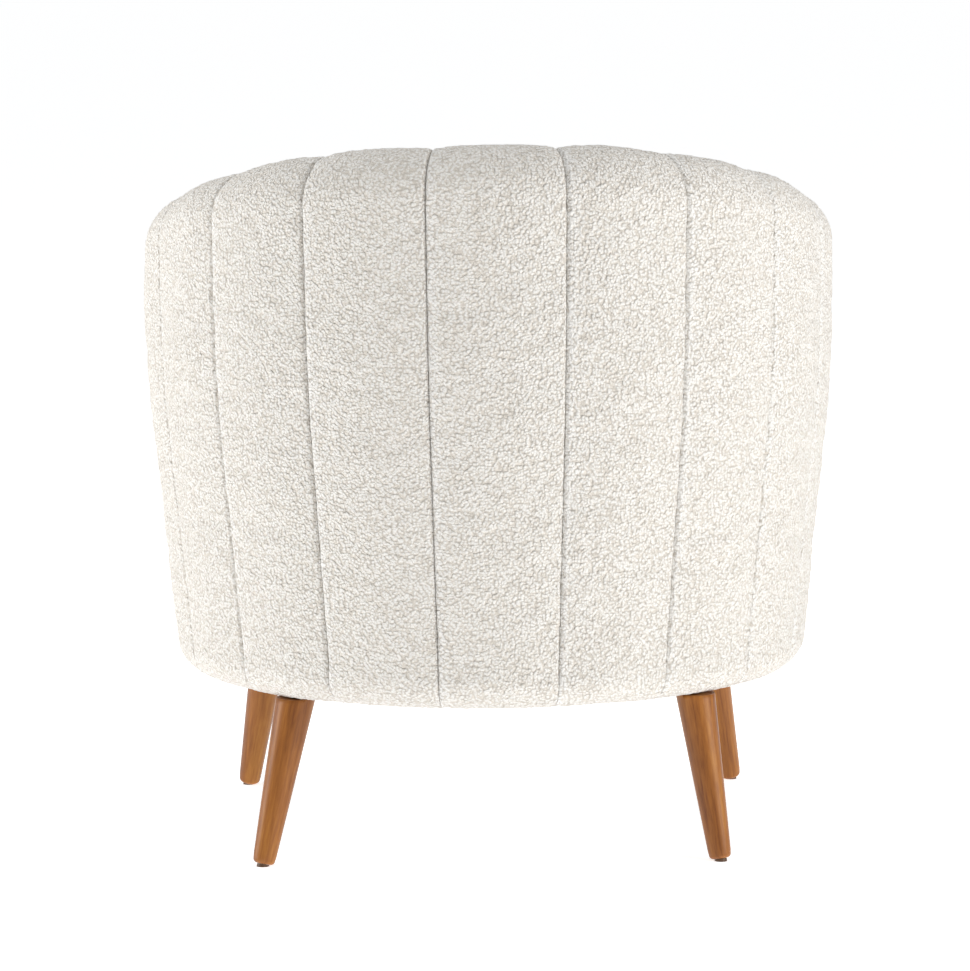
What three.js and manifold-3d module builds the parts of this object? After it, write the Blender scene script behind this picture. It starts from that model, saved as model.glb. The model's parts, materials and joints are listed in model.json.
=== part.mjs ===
// Barrel armchair with a channelled wall, a lift-out seat cushion and four splayed wooden legs.
//
// Millimetres, +Z up. The front faces -Y and +X is on the right of somebody looking at the front.
// The origin is on the floor, in the middle of the chair's width and depth. "Left" and "right" in
// the names are also as seen from in front.
//
// The wall runs round three sides of the seat. A place in it is given by three numbers:
//   s  the distance along the outer plan curve from the middle of the back, + towards +X
//   d  the distance outwards from that curve, so - is inside the wall
//   z  the height above the floor

import * as THREE from 'three';
import { mergeVertices } from 'three/addons/utils/BufferGeometryUtils.js';
import Module from 'manifold-3d';

const wasm = await Module();
wasm.setup();

// ---- driving dimensions ----------------------------------------------------------------------

const GAP = 0.4; // between pieces that touch

// The wall's outer plan: half an ellipse at the back, then straight arms.
const HALF_WIDTH = 390;
const BACK_DEPTH = 378;
const CURVE_CENTRE_Y = -18;
const ARM_FRONT_Y = -360;

// The rim: highest at the back, sweeping down to the arms.
const BACK_HEIGHT = 802;
const ARM_DROP = 115;
const DROP_LENGTH = 876;
const DROP_EASE = 1.206;
const RIM_RADIUS = 54;

// The wall's outer face: upright above FLARE_TOP, curving in below it, then straight to the bottom.
const UNDERSIDE = 184;
const FLARE_TOP = 620;
const FLARE_END = 450;
const FLARE_CURVE = 0.000297;
const FLARE_SLOPE = 0.101;
const BOTTOM_RADIUS = 40;

// Sewn channels.
const CHANNELS = 13;
const CHANNEL_PITCH = 139;
const SEAM_DEPTH = 4;
const SEAM_SHIFT_LOW = 5.5;
const SEAM_SHIFT_HIGH = 16;
const SEAM_SHIFT_TOP = 750;
const SEAM_SHIFT_REACH = 120;
const SEAM_SHIFT_FADE = [350, 850];
const OUTER_PAD = 24;
const INNER_FACE = -117;
const CORE_BACK = -73;
const INNER_PAD_BOTTOM = 276;
const PAD_END = -66;

// Wooden frame.
const RAIL_BOTTOM = 190;
const RAIL_TOP = 256;
const RAIL_OUTER = -64;
const RAIL_INNER = -100;
const FRONT_RAIL_Y = -306;
const FRONT_RAIL_THICKNESS = 30;
const RIB_THICKNESS = 22;
const RIB_INNER = -72;
const RIB_FOOT_INNER = -98;
const BOARD_THICKNESS = 2.6;
const BEND_CLEARANCE = 2;
const TOP_RAIL_OUTER = -32;
const TOP_RAIL_INNER = -65;
const TOP_RAIL_HEIGHT = 28;
const TOP_RAIL_COVER = 28;
const BLOCK_HEIGHT = 46;

// Seat.
const SPRING_X = [-186, -62, 62, 186];
const SPRING_WIRE = 1.9;
const SPRING_SWING = 21;
const SPRING_TURNS = 11;
const SPRING_CROWN = 15;
const SPRING_ARCH = 0.8;
const SPRING_END = 1 / 12;
const DECK_BOTTOM = 280;
const DECK_TOP = 312;
const DECK_FRONT_Y = -305;
const DECK_CORNER = 6;
const BORDER_FRONT_Y = -346;
const BORDER_TOP = 310;
const CUSHION_INSET = 121;
const CUSHION_FRONT_Y = -351;
const CUSHION_BOTTOM = 313;
const CUSHION_TOP = 456;
const CUSHION_CORNER = 22;
const COVER = 4;
const TOP_PANEL = 12;
const TOP_PANEL_EDGE = 5;

// Legs: turned, tapered and splayed. Each stands on its own foot point and meets the seat at its top
// point, and the four lean by slightly different amounts.
const LEG_TOP = 183.7;
const LEGS = [
  { name: 'front_left', foot: { x: -291, y: -269 }, top: { x: -260, y: -238 } },
  { name: 'front_right', foot: { x: 284, y: -269 }, top: { x: 255, y: -238 } },
  { name: 'rear_left', foot: { x: -247, y: 231 }, top: { x: -221, y: 199 } },
  { name: 'rear_right', foot: { x: 260, y: 231 }, top: { x: 222, y: 199 } },
];
const LEG_TOP_RADIUS = 22;
const FOOT_RADIUS = 12.3;
const FOOT_EDGE = 4.5;
const FOOT_LIFT = 2.6;
const GLIDE_RADIUS = 7;
const GLIDE_GAP = 0.3;
const BOLT_RADIUS = 4;
const BOLT_IN_LEG = 38;
const BOLT_IN_FRAME = 34;
const PLATE_THICKNESS = 3.2;
const PLATE_HALF = 24;
const PLATE_REAR_MARGIN = 6;
const PLATE_HOLE_GAP = 1.5;

// ---- materials ---------------------------------------------------------------------------------

const MATERIALS = {
  boucle: { color: 0xdfd9cd, roughness: 0.95, metalness: 0 },
  foam: { color: 0xe9dfb8, roughness: 0.95, metalness: 0 },
  frame_wood: { color: 0xc9a878, roughness: 0.7, metalness: 0 },
  leg_wood: { color: 0x94602f, roughness: 0.35, metalness: 0 },
  steel: { color: 0x8d9094, roughness: 0.4, metalness: 1 },
  black_cloth: { color: 0x1d1d1f, roughness: 0.95, metalness: 0 },
  nylon: { color: 0x2b2724, roughness: 0.55, metalness: 0 },
};

const chair = new THREE.Group();

function add(name, finish, geometry, parent = chair) {
  const mesh = new THREE.Mesh(geometry, new THREE.MeshStandardMaterial(MATERIALS[finish]));
  mesh.name = name;
  parent.add(mesh);
  return mesh;
}

// ---- the wall's shape --------------------------------------------------------------------------

const QUARTER = HALF_WIDTH * Math.PI / 2;
const ARM_END = QUARTER + CURVE_CENTRE_Y - ARM_FRONT_Y;
const CHANNEL_END = CHANNELS * CHANNEL_PITCH / 2;

function inWall(d, z, s) {
  const side = Math.sign(s);
  if (Math.abs(s) > QUARTER) {
    return new THREE.Vector3(side * (HALF_WIDTH + d), CURVE_CENTRE_Y - (Math.abs(s) - QUARTER), z);
  }
  const angle = s / HALF_WIDTH;
  const normal = new THREE.Vector2(BACK_DEPTH * Math.sin(angle), HALF_WIDTH * Math.cos(angle));
  normal.normalize().multiplyScalar(d);
  const x = HALF_WIDTH * Math.sin(angle) + normal.x;
  const y = CURVE_CENTRE_Y + BACK_DEPTH * Math.cos(angle) + normal.y;
  return new THREE.Vector3(x, y, z);
}

function rimHeight(s) {
  const run = Math.min(Math.abs(s), DROP_LENGTH) / DROP_LENGTH;
  return BACK_HEIGHT - ARM_DROP * ((1 - Math.cos(Math.PI * run)) / 2) ** DROP_EASE;
}

function flare(z) {
  const curved = FLARE_TOP - Math.max(z, FLARE_END);
  const straight = Math.max(FLARE_END - z, 0);
  return curved > 0 ? -FLARE_CURVE * curved ** 2 - FLARE_SLOPE * straight : 0;
}

// The channels widen upwards in the middle of the back: how far a seam lies from its even place.
function seamShift(s, z) {
  const rise = THREE.MathUtils.clamp((z - UNDERSIDE) / (SEAM_SHIFT_TOP - UNDERSIDE), 0, 1);
  const most = SEAM_SHIFT_LOW + (SEAM_SHIFT_HIGH - SEAM_SHIFT_LOW) * rise;
  const fade = 1 - THREE.MathUtils.smoothstep(Math.abs(s), ...SEAM_SHIFT_FADE);
  return most * Math.tanh(s / SEAM_SHIFT_REACH) * fade;
}

// A box of unit size, cut into segments and bent: place(u, v, w) gives each corner's new position.
function bentBox(segments, place) {
  const geometry = new THREE.BoxGeometry(1, 1, 1, ...segments);
  geometry.translate(0.5, 0.5, 0.5);
  const position = geometry.attributes.position;
  for (let i = 0; i < position.count; i += 1) {
    const point = place(position.getX(i), position.getY(i), position.getZ(i));
    position.setXYZ(i, point.x, point.y, point.z);
  }
  geometry.computeVertexNormals();
  return geometry;
}

// ---- sewn channels -------------------------------------------------------------------------------

const RIM_STEPS = 6;
const CORE_CENTRE = (CORE_BACK - OUTER_PAD) / 2;
const CORE_HALF = (-OUTER_PAD - CORE_BACK) / 2;
const CORE_RISE = 29.5;
const CORE_SQUARENESS = 0.4;

// The pad's skin and the face against the frame, as matching lists of (d, z) that start inside the
// chair at the seat, go up and over the rim and end under the outside bottom edge.
function padSection(rim) {
  const rimCentre = rim - RIM_RADIUS;
  const skin = [[INNER_FACE, INNER_PAD_BOTTOM], [INNER_FACE, FLARE_END]];
  const core = [[CORE_BACK, INNER_PAD_BOTTOM], [CORE_BACK, FLARE_END]];
  for (let i = 0; i <= RIM_STEPS; i += 1) {
    const angle = Math.PI * (1 - i / RIM_STEPS);
    const across = Math.cos(angle);
    const up = Math.sin(angle);
    const squareAcross = Math.sign(across) * Math.abs(across) ** CORE_SQUARENESS;
    skin.push([RIM_RADIUS * (across - 1), rimCentre + RIM_RADIUS * up]);
    core.push([CORE_CENTRE + CORE_HALF * squareAcross, rimCentre + CORE_RISE * up ** CORE_SQUARENESS]);
  }
  const cornerTop = UNDERSIDE + BOTTOM_RADIUS;
  const cornerMiddle = UNDERSIDE + BOTTOM_RADIUS * (1 - Math.SQRT1_2);
  for (const z of [FLARE_TOP, (FLARE_TOP + FLARE_END) / 2, FLARE_END, cornerTop]) {
    skin.push([flare(z), z]);
    core.push([flare(z) - OUTER_PAD, z]);
  }
  skin.push([flare(cornerTop) - BOTTOM_RADIUS * (1 - Math.SQRT1_2), cornerMiddle]);
  core.push([flare(RAIL_BOTTOM) - OUTER_PAD, RAIL_BOTTOM - GAP]);
  skin.push([PAD_END, UNDERSIDE]);
  core.push([PAD_END, RAIL_BOTTOM - GAP]);
  return { skin, core };
}

const SECTION_POINTS = padSection(BACK_HEIGHT).skin.length;

function channelPad(index) {
  const start = (index - CHANNELS / 2) * CHANNEL_PITCH + GAP;
  const length = CHANNEL_PITCH - 2 * GAP;
  return bentBox([SECTION_POINTS - 1, 1, 4], (u, v, w) => {
    const s = start + length * w;
    const { skin, core } = padSection(rimHeight(s + seamShift(s, BACK_HEIGHT)));
    const at = Math.round(u * (SECTION_POINTS - 1));
    const inner = new THREE.Vector2(...core[at]);
    const outer = new THREE.Vector2(...skin[at]);
    const thickness = outer.distanceTo(inner);
    const sunk = Math.min(SEAM_DEPTH, thickness / 4) * (2 * w - 1) ** 2;
    const point = inner.lerp(outer, v * (1 - sunk / thickness));
    return inWall(point.x, point.y, s + seamShift(s, point.y));
  });
}

for (let i = 0; i < CHANNELS; i += 1) {
  add(`channel_${String(i + 1).padStart(2, '0')}`, 'boucle', channelPad(i));
}

// ---- arm fronts ----------------------------------------------------------------------------------

// Each arm ends in a solid pad with a rounded nose. Its section is the wall's own section without
// the core, and it draws in to the middle of the wall towards the nose.
const NOSE_LENGTH = ARM_END - CHANNEL_END - GAP;
const NOSE_SQUARENESS = 2.6;
const NOSE_STEPS = 7;
const NOSE_TIP = 0.12;
const INNER_LEAN = INNER_FACE + 2 * RIM_RADIUS;
const INNER_LEAN_RATE = 2.2;

function armFrontSection() {
  const shape = new THREE.Shape();
  shape.moveTo(-1, -1);
  shape.lineTo(0.35, -1);
  shape.lineTo(0.8, -0.965);
  shape.lineTo(1, -0.9);
  shape.lineTo(1, -0.55);
  shape.lineTo(1, -0.25);
  shape.lineTo(1, 0);
  shape.absarc(0, 0, 1, 0, Math.PI, false);
  shape.lineTo(-1, -0.45);
  return shape;
}

function armFront(side) {
  const options = { depth: 1, steps: NOSE_STEPS, bevelEnabled: false, curveSegments: 8 };
  const geometry = new THREE.ExtrudeGeometry(armFrontSection(), options);
  const position = geometry.attributes.position;
  for (let i = 0; i < position.count; i += 1) {
    const across = position.getX(i);
    const up = position.getY(i);
    const turn = position.getZ(i) * Math.PI / 2;
    const run = Math.sin(turn);
    const width = Math.max((1 - run ** NOSE_SQUARENESS) ** (1 / NOSE_SQUARENESS), NOSE_TIP);
    const s = side * (CHANNEL_END + GAP + NOSE_LENGTH * run);
    const rimCentre = rimHeight(s) - RIM_RADIUS;
    const z = up > 0 ? rimCentre + RIM_RADIUS * width * up : rimCentre + (rimCentre - UNDERSIDE) * up;
    const outerFace = flare(z);
    const below = Math.min(-up * INNER_LEAN_RATE, 1);
    const innerFace = Math.max(INNER_FACE, INNER_LEAN * below - 2 * RIM_RADIUS);
    const middle = (outerFace + innerFace) / 2;
    const half = (outerFace - innerFace) / 2;
    const point = inWall(middle + half * width * across, z, s);
    position.setXYZ(i, point.x, point.y, point.z);
  }
  if (side < 0) {
    flipFaces(geometry);
  }
  return geometry;
}

function flipFaces(geometry) {
  const position = geometry.attributes.position;
  for (let i = 0; i < position.count; i += 3) {
    const first = new THREE.Vector3().fromBufferAttribute(position, i);
    const last = new THREE.Vector3().fromBufferAttribute(position, i + 2);
    position.setXYZ(i, last.x, last.y, last.z);
    position.setXYZ(i + 2, first.x, first.y, first.z);
  }
}

add('arm_front_left', 'boucle', armFront(-1));
add('arm_front_right', 'boucle', armFront(1));

// ---- wooden frame --------------------------------------------------------------------------------

// A straight or curved strip of timber that follows the wall between two distances along it.
function wallStrip(from, to, steps, outer, inner, bottom, top) {
  return bentBox([1, 1, steps], (u, v, w) => {
    const s = from + (to - from) * w;
    const z = u > 0.5 ? bottom : top(s);
    return inWall(v > 0.5 ? outer : inner, z, s);
  });
}

function solid(geometry) {
  const plain = geometry.clone();
  plain.deleteAttribute('normal');
  plain.deleteAttribute('uv');
  const merged = mergeVertices(plain);
  const vertProperties = merged.attributes.position.array;
  const triVerts = new Uint32Array(merged.index.array);
  return new wasm.Manifold(new wasm.Mesh({ numProp: 3, vertProperties, triVerts }));
}

function surface(manifold) {
  const { vertProperties, triVerts } = manifold.getMesh();
  const geometry = new THREE.BufferGeometry();
  geometry.setAttribute('position', new THREE.BufferAttribute(new Float32Array(vertProperties), 3));
  geometry.setIndex(new THREE.BufferAttribute(new Uint32Array(triVerts), 1));
  geometry.computeVertexNormals();
  return geometry;
}

// A point on a leg's axis at height z.
function onLeg(leg, z) {
  const { foot, top } = leg;
  const share = z / LEG_TOP;
  return new THREE.Vector3(foot.x + (top.x - foot.x) * share, foot.y + (top.y - foot.y) * share, z);
}

// Something round made upright on the origin, moved to stand on the leg's line at height z.
function alongLeg(geometry, leg, z) {
  const direction = onLeg(leg, 1).sub(onLeg(leg, 0)).normalize();
  const turn = new THREE.Quaternion().setFromUnitVectors(new THREE.Vector3(0, 0, 1), direction);
  const place = new THREE.Matrix4().compose(onLeg(leg, z), turn, new THREE.Vector3(1, 1, 1));
  return geometry.applyMatrix4(place);
}

function uprightCylinder(radius, length, sides = 16) {
  const geometry = new THREE.CylinderGeometry(radius, radius, length, sides);
  return geometry.rotateX(Math.PI / 2).translate(0, 0, length / 2);
}

function boltHoles(geometry, legs, radius) {
  let body = solid(geometry);
  for (const leg of legs) {
    const hole = alongLeg(uprightCylinder(radius, BOLT_IN_FRAME + 12), leg, LEG_TOP - 8);
    body = body.subtract(solid(hole));
  }
  return surface(body);
}

const frontLegs = LEGS.slice(0, 2);
const rearLegs = LEGS.slice(2);
const railTop = () => RAIL_TOP;
const rearRail = wallStrip(-QUARTER, QUARTER, 18, RAIL_OUTER, RAIL_INNER, RAIL_BOTTOM, railTop);
add('seat_rail_back', 'frame_wood', boltHoles(rearRail, rearLegs, BOLT_RADIUS + GAP));

const sideRailEnd = QUARTER + CURVE_CENTRE_Y - FRONT_RAIL_Y;
for (const [name, side] of [['left', -1], ['right', 1]]) {
  const from = side < 0 ? -sideRailEnd : QUARTER + GAP;
  const to = side < 0 ? -QUARTER - GAP : sideRailEnd;
  const rail = wallStrip(from, to, 1, RAIL_OUTER, RAIL_INNER, RAIL_BOTTOM, railTop);
  add(`seat_rail_${name}`, 'frame_wood', rail);
}

const railInside = HALF_WIDTH + RAIL_INNER;
const railHeight = RAIL_TOP - RAIL_BOTTOM;
const railMiddleZ = (RAIL_TOP + RAIL_BOTTOM) / 2;
const frontRail = add(
  'seat_rail_front',
  'frame_wood',
  new THREE.BoxGeometry(2 * (railInside - GAP), FRONT_RAIL_THICKNESS, railHeight),
);
frontRail.position.set(0, FRONT_RAIL_Y + FRONT_RAIL_THICKNESS / 2, railMiddleZ);

// Corner blocks take the leg bolts at the front and stiffen the curved rail at the back.
const BLOCK_FRONT = { x: 66, y: 64 };
const BLOCK_REAR = { outer: -102, inner: -148, along: 84 };
for (const leg of frontLegs) {
  const side = Math.sign(leg.foot.x);
  const block = new THREE.BoxGeometry(BLOCK_FRONT.x, BLOCK_FRONT.y, BLOCK_HEIGHT);
  const x = side * (railInside - GAP - BLOCK_FRONT.x / 2);
  const y = FRONT_RAIL_Y + FRONT_RAIL_THICKNESS + GAP + BLOCK_FRONT.y / 2;
  block.translate(x, y, RAIL_BOTTOM + BLOCK_HEIGHT / 2);
  add(`corner_block_${leg.name}`, 'frame_wood', boltHoles(block, [leg], BOLT_RADIUS + GAP));
}

function wallDirection(leg) {
  const top = onLeg(leg, LEG_TOP);
  return Math.atan2(top.x / HALF_WIDTH, (top.y - CURVE_CENTRE_Y) / BACK_DEPTH);
}

for (const leg of rearLegs) {
  const middle = HALF_WIDTH * wallDirection(leg);
  const from = middle - BLOCK_REAR.along / 2;
  const to = middle + BLOCK_REAR.along / 2;
  const { outer, inner } = BLOCK_REAR;
  const blockTop = () => RAIL_BOTTOM + BLOCK_HEIGHT;
  const block = wallStrip(from, to, 3, outer, inner, RAIL_BOTTOM, blockTop);
  add(`corner_block_${leg.name}`, 'frame_wood', block);
}

// Upright plywood ribs stand on the rails and carry the top rail. The last pair are the arm posts.
const ribPlaces = [
  ['arm_post_left', -CHANNEL_END + RIB_THICKNESS],
  ['back_rib_1', -3.5 * CHANNEL_PITCH],
  ['back_rib_2', -1.5 * CHANNEL_PITCH],
  ['back_rib_3', 1.5 * CHANNEL_PITCH],
  ['back_rib_4', 3.5 * CHANNEL_PITCH],
  ['arm_post_right', CHANNEL_END - RIB_THICKNESS],
];
const boardInside = OUTER_PAD + GAP + BOARD_THICKNESS + BEND_CLEARANCE;

const RIB_FOOT_TOP = 266;
const RIB_STEM_BOTTOM = 275;
const RIB_TOP_GAP = 6;
const FLARE_MIDDLE = (FLARE_END + FLARE_TOP) / 2;

function rib(middle) {
  const top = rimHeight(middle) - TOP_RAIL_COVER - TOP_RAIL_HEIGHT - RIB_TOP_GAP;
  const foot = [RAIL_TOP + GAP, RIB_FOOT_TOP];
  const levels = [...foot, RIB_STEM_BOTTOM, FLARE_END, FLARE_MIDDLE, FLARE_TOP, top];
  const inner = (z) => (z > RIB_FOOT_TOP ? RIB_INNER : RIB_FOOT_INNER);
  return bentBox([levels.length - 1, 1, 1], (u, v, w) => {
    const z = levels[levels.length - 1 - Math.round(u * (levels.length - 1))];
    const d = v > 0.5 ? flare(z) - boardInside : inner(z);
    return inWall(d, z, middle + RIB_THICKNESS * (w - 0.5));
  });
}

for (const [name, middle] of ribPlaces) {
  add(name, 'frame_wood', rib(middle));
}

const topRailTop = (s) => rimHeight(s) - TOP_RAIL_COVER;
const topRail = bentBox([1, 1, 2 * CHANNELS], (u, v, w) => {
  const s = (2 * w - 1) * (CHANNEL_END - GAP);
  const z = topRailTop(s) - (u > 0.5 ? TOP_RAIL_HEIGHT : 0);
  return inWall(v > 0.5 ? TOP_RAIL_OUTER : TOP_RAIL_INNER, z, s);
});
add('top_rail', 'frame_wood', topRail);

// A thin bent board closes the outside of the frame behind the padding.
const BOARD_LEVELS = [RAIL_BOTTOM, FLARE_END, FLARE_MIDDLE, FLARE_TOP];
const BOARD_TOP_GAP = 3;
const outerBoard = bentBox([BOARD_LEVELS.length, 1, 2 * CHANNELS], (u, v, w) => {
  const s = (2 * w - 1) * (CHANNEL_END - GAP);
  const levels = [...BOARD_LEVELS, rimHeight(s) - RIM_RADIUS - BOARD_TOP_GAP];
  const z = levels[levels.length - 1 - Math.round(u * (levels.length - 1))];
  const d = flare(z) - OUTER_PAD - GAP - (v > 0.5 ? 0 : BOARD_THICKNESS);
  return inWall(d, z, s);
});
add('outer_board', 'frame_wood', outerBoard);

// ---- seat springs and deck -----------------------------------------------------------------------

// A sinuous spring: a wire that swings from side to side from the front rail to the back rail.
class SpringLine extends THREE.Curve {
  constructor(x, front, back) {
    super();
    Object.assign(this, { x, front, back });
  }

  getPoint(t, target = new THREE.Vector3()) {
    const ends = Math.min(1, Math.min(t, 1 - t) / SPRING_END);
    const swing = SPRING_SWING * ends * Math.sin(Math.PI * SPRING_TURNS * t);
    const rise = SPRING_CROWN * Math.sin(Math.PI * t) ** SPRING_ARCH;
    const z = RAIL_TOP + GAP + SPRING_WIRE + rise;
    return target.set(this.x + swing, this.front + (this.back - this.front) * t, z);
  }
}

const wireSection = new THREE.Shape();
wireSection.absarc(0, 0, SPRING_WIRE, 0, 2 * Math.PI, false);
SPRING_X.forEach((x, i) => {
  const reach = 1 - (x / (HALF_WIDTH + RAIL_INNER)) ** 2;
  const back = CURVE_CENTRE_Y + (BACK_DEPTH + (RAIL_OUTER + RAIL_INNER) / 2) * Math.sqrt(reach);
  const front = FRONT_RAIL_Y + FRONT_RAIL_THICKNESS / 2;
  const options = {
    steps: 4 * SPRING_TURNS,
    curveSegments: 3,
    bevelEnabled: false,
    extrudePath: new SpringLine(x, front, back),
  };
  add(`seat_spring_${i + 1}`, 'steel', new THREE.ExtrudeGeometry(wireSection, options));
});

// The seat's outline: half an ellipse at the back, straight sides and a straight front.
function seatShape(inset, frontY, corner) {
  const half = HALF_WIDTH - inset;
  const arc = (x, y, radiusX, radiusY, from, to, steps) => (
    new THREE.EllipseCurve(x, y, radiusX, radiusY, from, to).getPoints(steps)
  );
  return new THREE.Shape([
    ...arc(-half + corner, frontY + corner, corner, corner, Math.PI, 1.5 * Math.PI, 3),
    ...arc(half - corner, frontY + corner, corner, corner, -0.5 * Math.PI, 0, 3),
    ...arc(0, CURVE_CENTRE_Y, half, BACK_DEPTH - inset, 0, Math.PI, 24),
  ]);
}

function slab(shape, bottom, top, edge = 0) {
  const options = {
    depth: top - bottom - 2 * edge,
    curveSegments: 6,
    bevelEnabled: edge > 0,
    bevelThickness: edge,
    bevelSize: edge,
    bevelOffset: -edge,
    bevelSegments: 2,
  };
  return new THREE.ExtrudeGeometry(shape, options).translate(0, 0, bottom + edge);
}

const deckShape = seatShape(CUSHION_INSET, DECK_FRONT_Y, DECK_CORNER);
add('seat_deck', 'foam', slab(deckShape, DECK_BOTTOM, DECK_TOP));

// The padded border across the front, below the cushion.
const BORDER_HALF = HALF_WIDTH + INNER_FACE - GAP;
const BORDER_ROUND = 16;
const borderBack = -FRONT_RAIL_Y + GAP;
const borderProfile = new THREE.Shape();
borderProfile.moveTo(borderBack, UNDERSIDE);
borderProfile.lineTo(-BORDER_FRONT_Y - BORDER_ROUND, UNDERSIDE);
const lowRound = [-BORDER_FRONT_Y - BORDER_ROUND, UNDERSIDE + BORDER_ROUND, BORDER_ROUND];
borderProfile.absarc(...lowRound, -Math.PI / 2, 0, false);
const highRound = [-BORDER_FRONT_Y - BORDER_ROUND, BORDER_TOP - BORDER_ROUND, BORDER_ROUND];
borderProfile.absarc(...highRound, 0, Math.PI / 2, false);
borderProfile.lineTo(borderBack, BORDER_TOP);
const border = new THREE.ExtrudeGeometry(borderProfile, {
  depth: 2 * BORDER_HALF,
  curveSegments: 5,
  bevelEnabled: false,
});
border.translate(0, 0, -BORDER_HALF);
border.applyMatrix4(new THREE.Matrix4().makeBasis(
  new THREE.Vector3(0, -1, 0),
  new THREE.Vector3(0, 0, 1),
  new THREE.Vector3(-1, 0, 0),
));
add('front_border', 'boucle', border);

// ---- loose seat cushion --------------------------------------------------------------------------

const cushionShape = seatShape(CUSHION_INSET, CUSHION_FRONT_Y, CUSHION_CORNER);
const innerCorner = CUSHION_CORNER - COVER;
const bandBottom = CUSHION_BOTTOM + COVER + GAP;
const bandTop = CUSHION_TOP - TOP_PANEL - GAP;
add('cushion_bottom_panel', 'boucle', slab(cushionShape, CUSHION_BOTTOM, CUSHION_BOTTOM + COVER));
const topPanel = slab(cushionShape, CUSHION_TOP - TOP_PANEL, CUSHION_TOP, TOP_PANEL_EDGE);
add('cushion_top_panel', 'boucle', topPanel);

const bandShape = seatShape(CUSHION_INSET, CUSHION_FRONT_Y, CUSHION_CORNER);
bandShape.holes.push(seatShape(CUSHION_INSET + COVER, CUSHION_FRONT_Y + COVER, innerCorner));
const ZIP_HALF_WIDTH = 150;
const ZIP_HEIGHT = 12;
const ZIP_REACH = 200;
const cushionRearY = CURVE_CENTRE_Y + BACK_DEPTH - CUSHION_INSET;

function zipBox(inset) {
  const width = 2 * (ZIP_HALF_WIDTH - inset);
  const box = new THREE.BoxGeometry(width, ZIP_REACH, ZIP_HEIGHT - 2 * inset);
  return solid(box.translate(0, cushionRearY, (bandBottom + bandTop) / 2));
}

const band = solid(slab(bandShape, bandBottom, bandTop));
add('cushion_band', 'boucle', surface(band.subtract(zipBox(0))));
add('cushion_zip', 'nylon', surface(band.intersect(zipBox(GAP))));

const foamInset = COVER + GAP;
const foamShape = seatShape(CUSHION_INSET + foamInset, CUSHION_FRONT_Y + foamInset, innerCorner);
add('cushion_foam', 'foam', slab(foamShape, bandBottom, bandTop));

// ---- underside -----------------------------------------------------------------------------------

const plateTop = RAIL_BOTTOM - GAP;
const plateBottom = plateTop - PLATE_THICKNESS;
const clothTop = plateBottom - GAP;
const clothBottom = LEG_TOP + GAP;
const CLOTH_MARGIN = 1.5;
const CLOTH_CORNER = 8;
const clothShape = seatShape(CLOTH_MARGIN - PAD_END, FRONT_RAIL_Y + 1, CLOTH_CORNER);
let cloth = solid(slab(clothShape, clothBottom, clothTop));
for (const leg of LEGS) {
  const hole = uprightCylinder(BOLT_RADIUS + 2, 2 * FOOT_EDGE);
  const { x, y } = onLeg(leg, clothBottom);
  cloth = cloth.subtract(solid(hole.translate(x, y, clothBottom - FOOT_EDGE)));
}
add('dust_cover', 'black_cloth', surface(cloth));

function legPlate(leg) {
  const front = leg.foot.y < 0;
  const outward = front ? PLATE_HALF : PLATE_REAR_MARGIN;
  const inward = 2 * PLATE_HALF - outward;
  const shape = new THREE.Shape();
  shape.moveTo(-PLATE_HALF, -inward);
  shape.lineTo(PLATE_HALF, -inward);
  shape.lineTo(PLATE_HALF, outward);
  shape.lineTo(-PLATE_HALF, outward);
  const hole = new THREE.Path();
  hole.absarc(0, 0, BOLT_RADIUS + PLATE_HOLE_GAP, 0, 2 * Math.PI, true);
  shape.holes.push(hole);
  const options = { depth: PLATE_THICKNESS, bevelEnabled: false, curveSegments: 8 };
  const geometry = new THREE.ExtrudeGeometry(shape, options);
  geometry.rotateZ(front ? 0 : -wallDirection(leg));
  const { x, y } = onLeg(leg, plateBottom);
  return geometry.translate(x, y, plateBottom);
}

// ---- legs ----------------------------------------------------------------------------------------

const TRIM = 12;
const CUTTER = 200;

function turnedLeg(leg) {
  const legLength = onLeg(leg, LEG_TOP).distanceTo(onLeg(leg, 0));
  const legTaper = (LEG_TOP_RADIUS - FOOT_RADIUS) / legLength;
  const end = legLength + TRIM;
  const profile = [
    new THREE.Vector2(0, FOOT_LIFT),
    new THREE.Vector2(FOOT_RADIUS - FOOT_EDGE, FOOT_LIFT),
    new THREE.Vector2(FOOT_RADIUS - 0.3 * FOOT_EDGE, FOOT_LIFT + 0.3 * FOOT_EDGE),
    new THREE.Vector2(FOOT_RADIUS, FOOT_LIFT + FOOT_EDGE),
    new THREE.Vector2(FOOT_RADIUS + legTaper * legLength / 2, legLength / 2),
    new THREE.Vector2(FOOT_RADIUS + legTaper * end, end),
    new THREE.Vector2(0, end),
  ];
  const turned = alongLeg(new THREE.LatheGeometry(profile, 24).rotateX(Math.PI / 2), leg, 0);
  const above = new THREE.BoxGeometry(CUTTER, CUTTER, CUTTER);
  const { x, y } = onLeg(leg, LEG_TOP);
  above.translate(x, y, LEG_TOP + CUTTER / 2);
  const hole = uprightCylinder(BOLT_RADIUS + GAP, BOLT_IN_LEG + TRIM);
  alongLeg(hole, leg, LEG_TOP - BOLT_IN_LEG);
  return surface(solid(turned).subtract(solid(above)).subtract(solid(hole)));
}

// The glide is nailed square to the foot and worn level where it stands on the floor.
function glide(leg) {
  const length = 2 * FOOT_LIFT;
  const shaft = uprightCylinder(GLIDE_RADIUS, length, 20);
  const pad = alongLeg(shaft, leg, FOOT_LIFT - GLIDE_GAP - length);
  const below = new THREE.BoxGeometry(CUTTER, CUTTER, CUTTER);
  below.translate(leg.foot.x, leg.foot.y, -CUTTER / 2);
  return surface(solid(pad).subtract(solid(below)));
}

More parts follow.
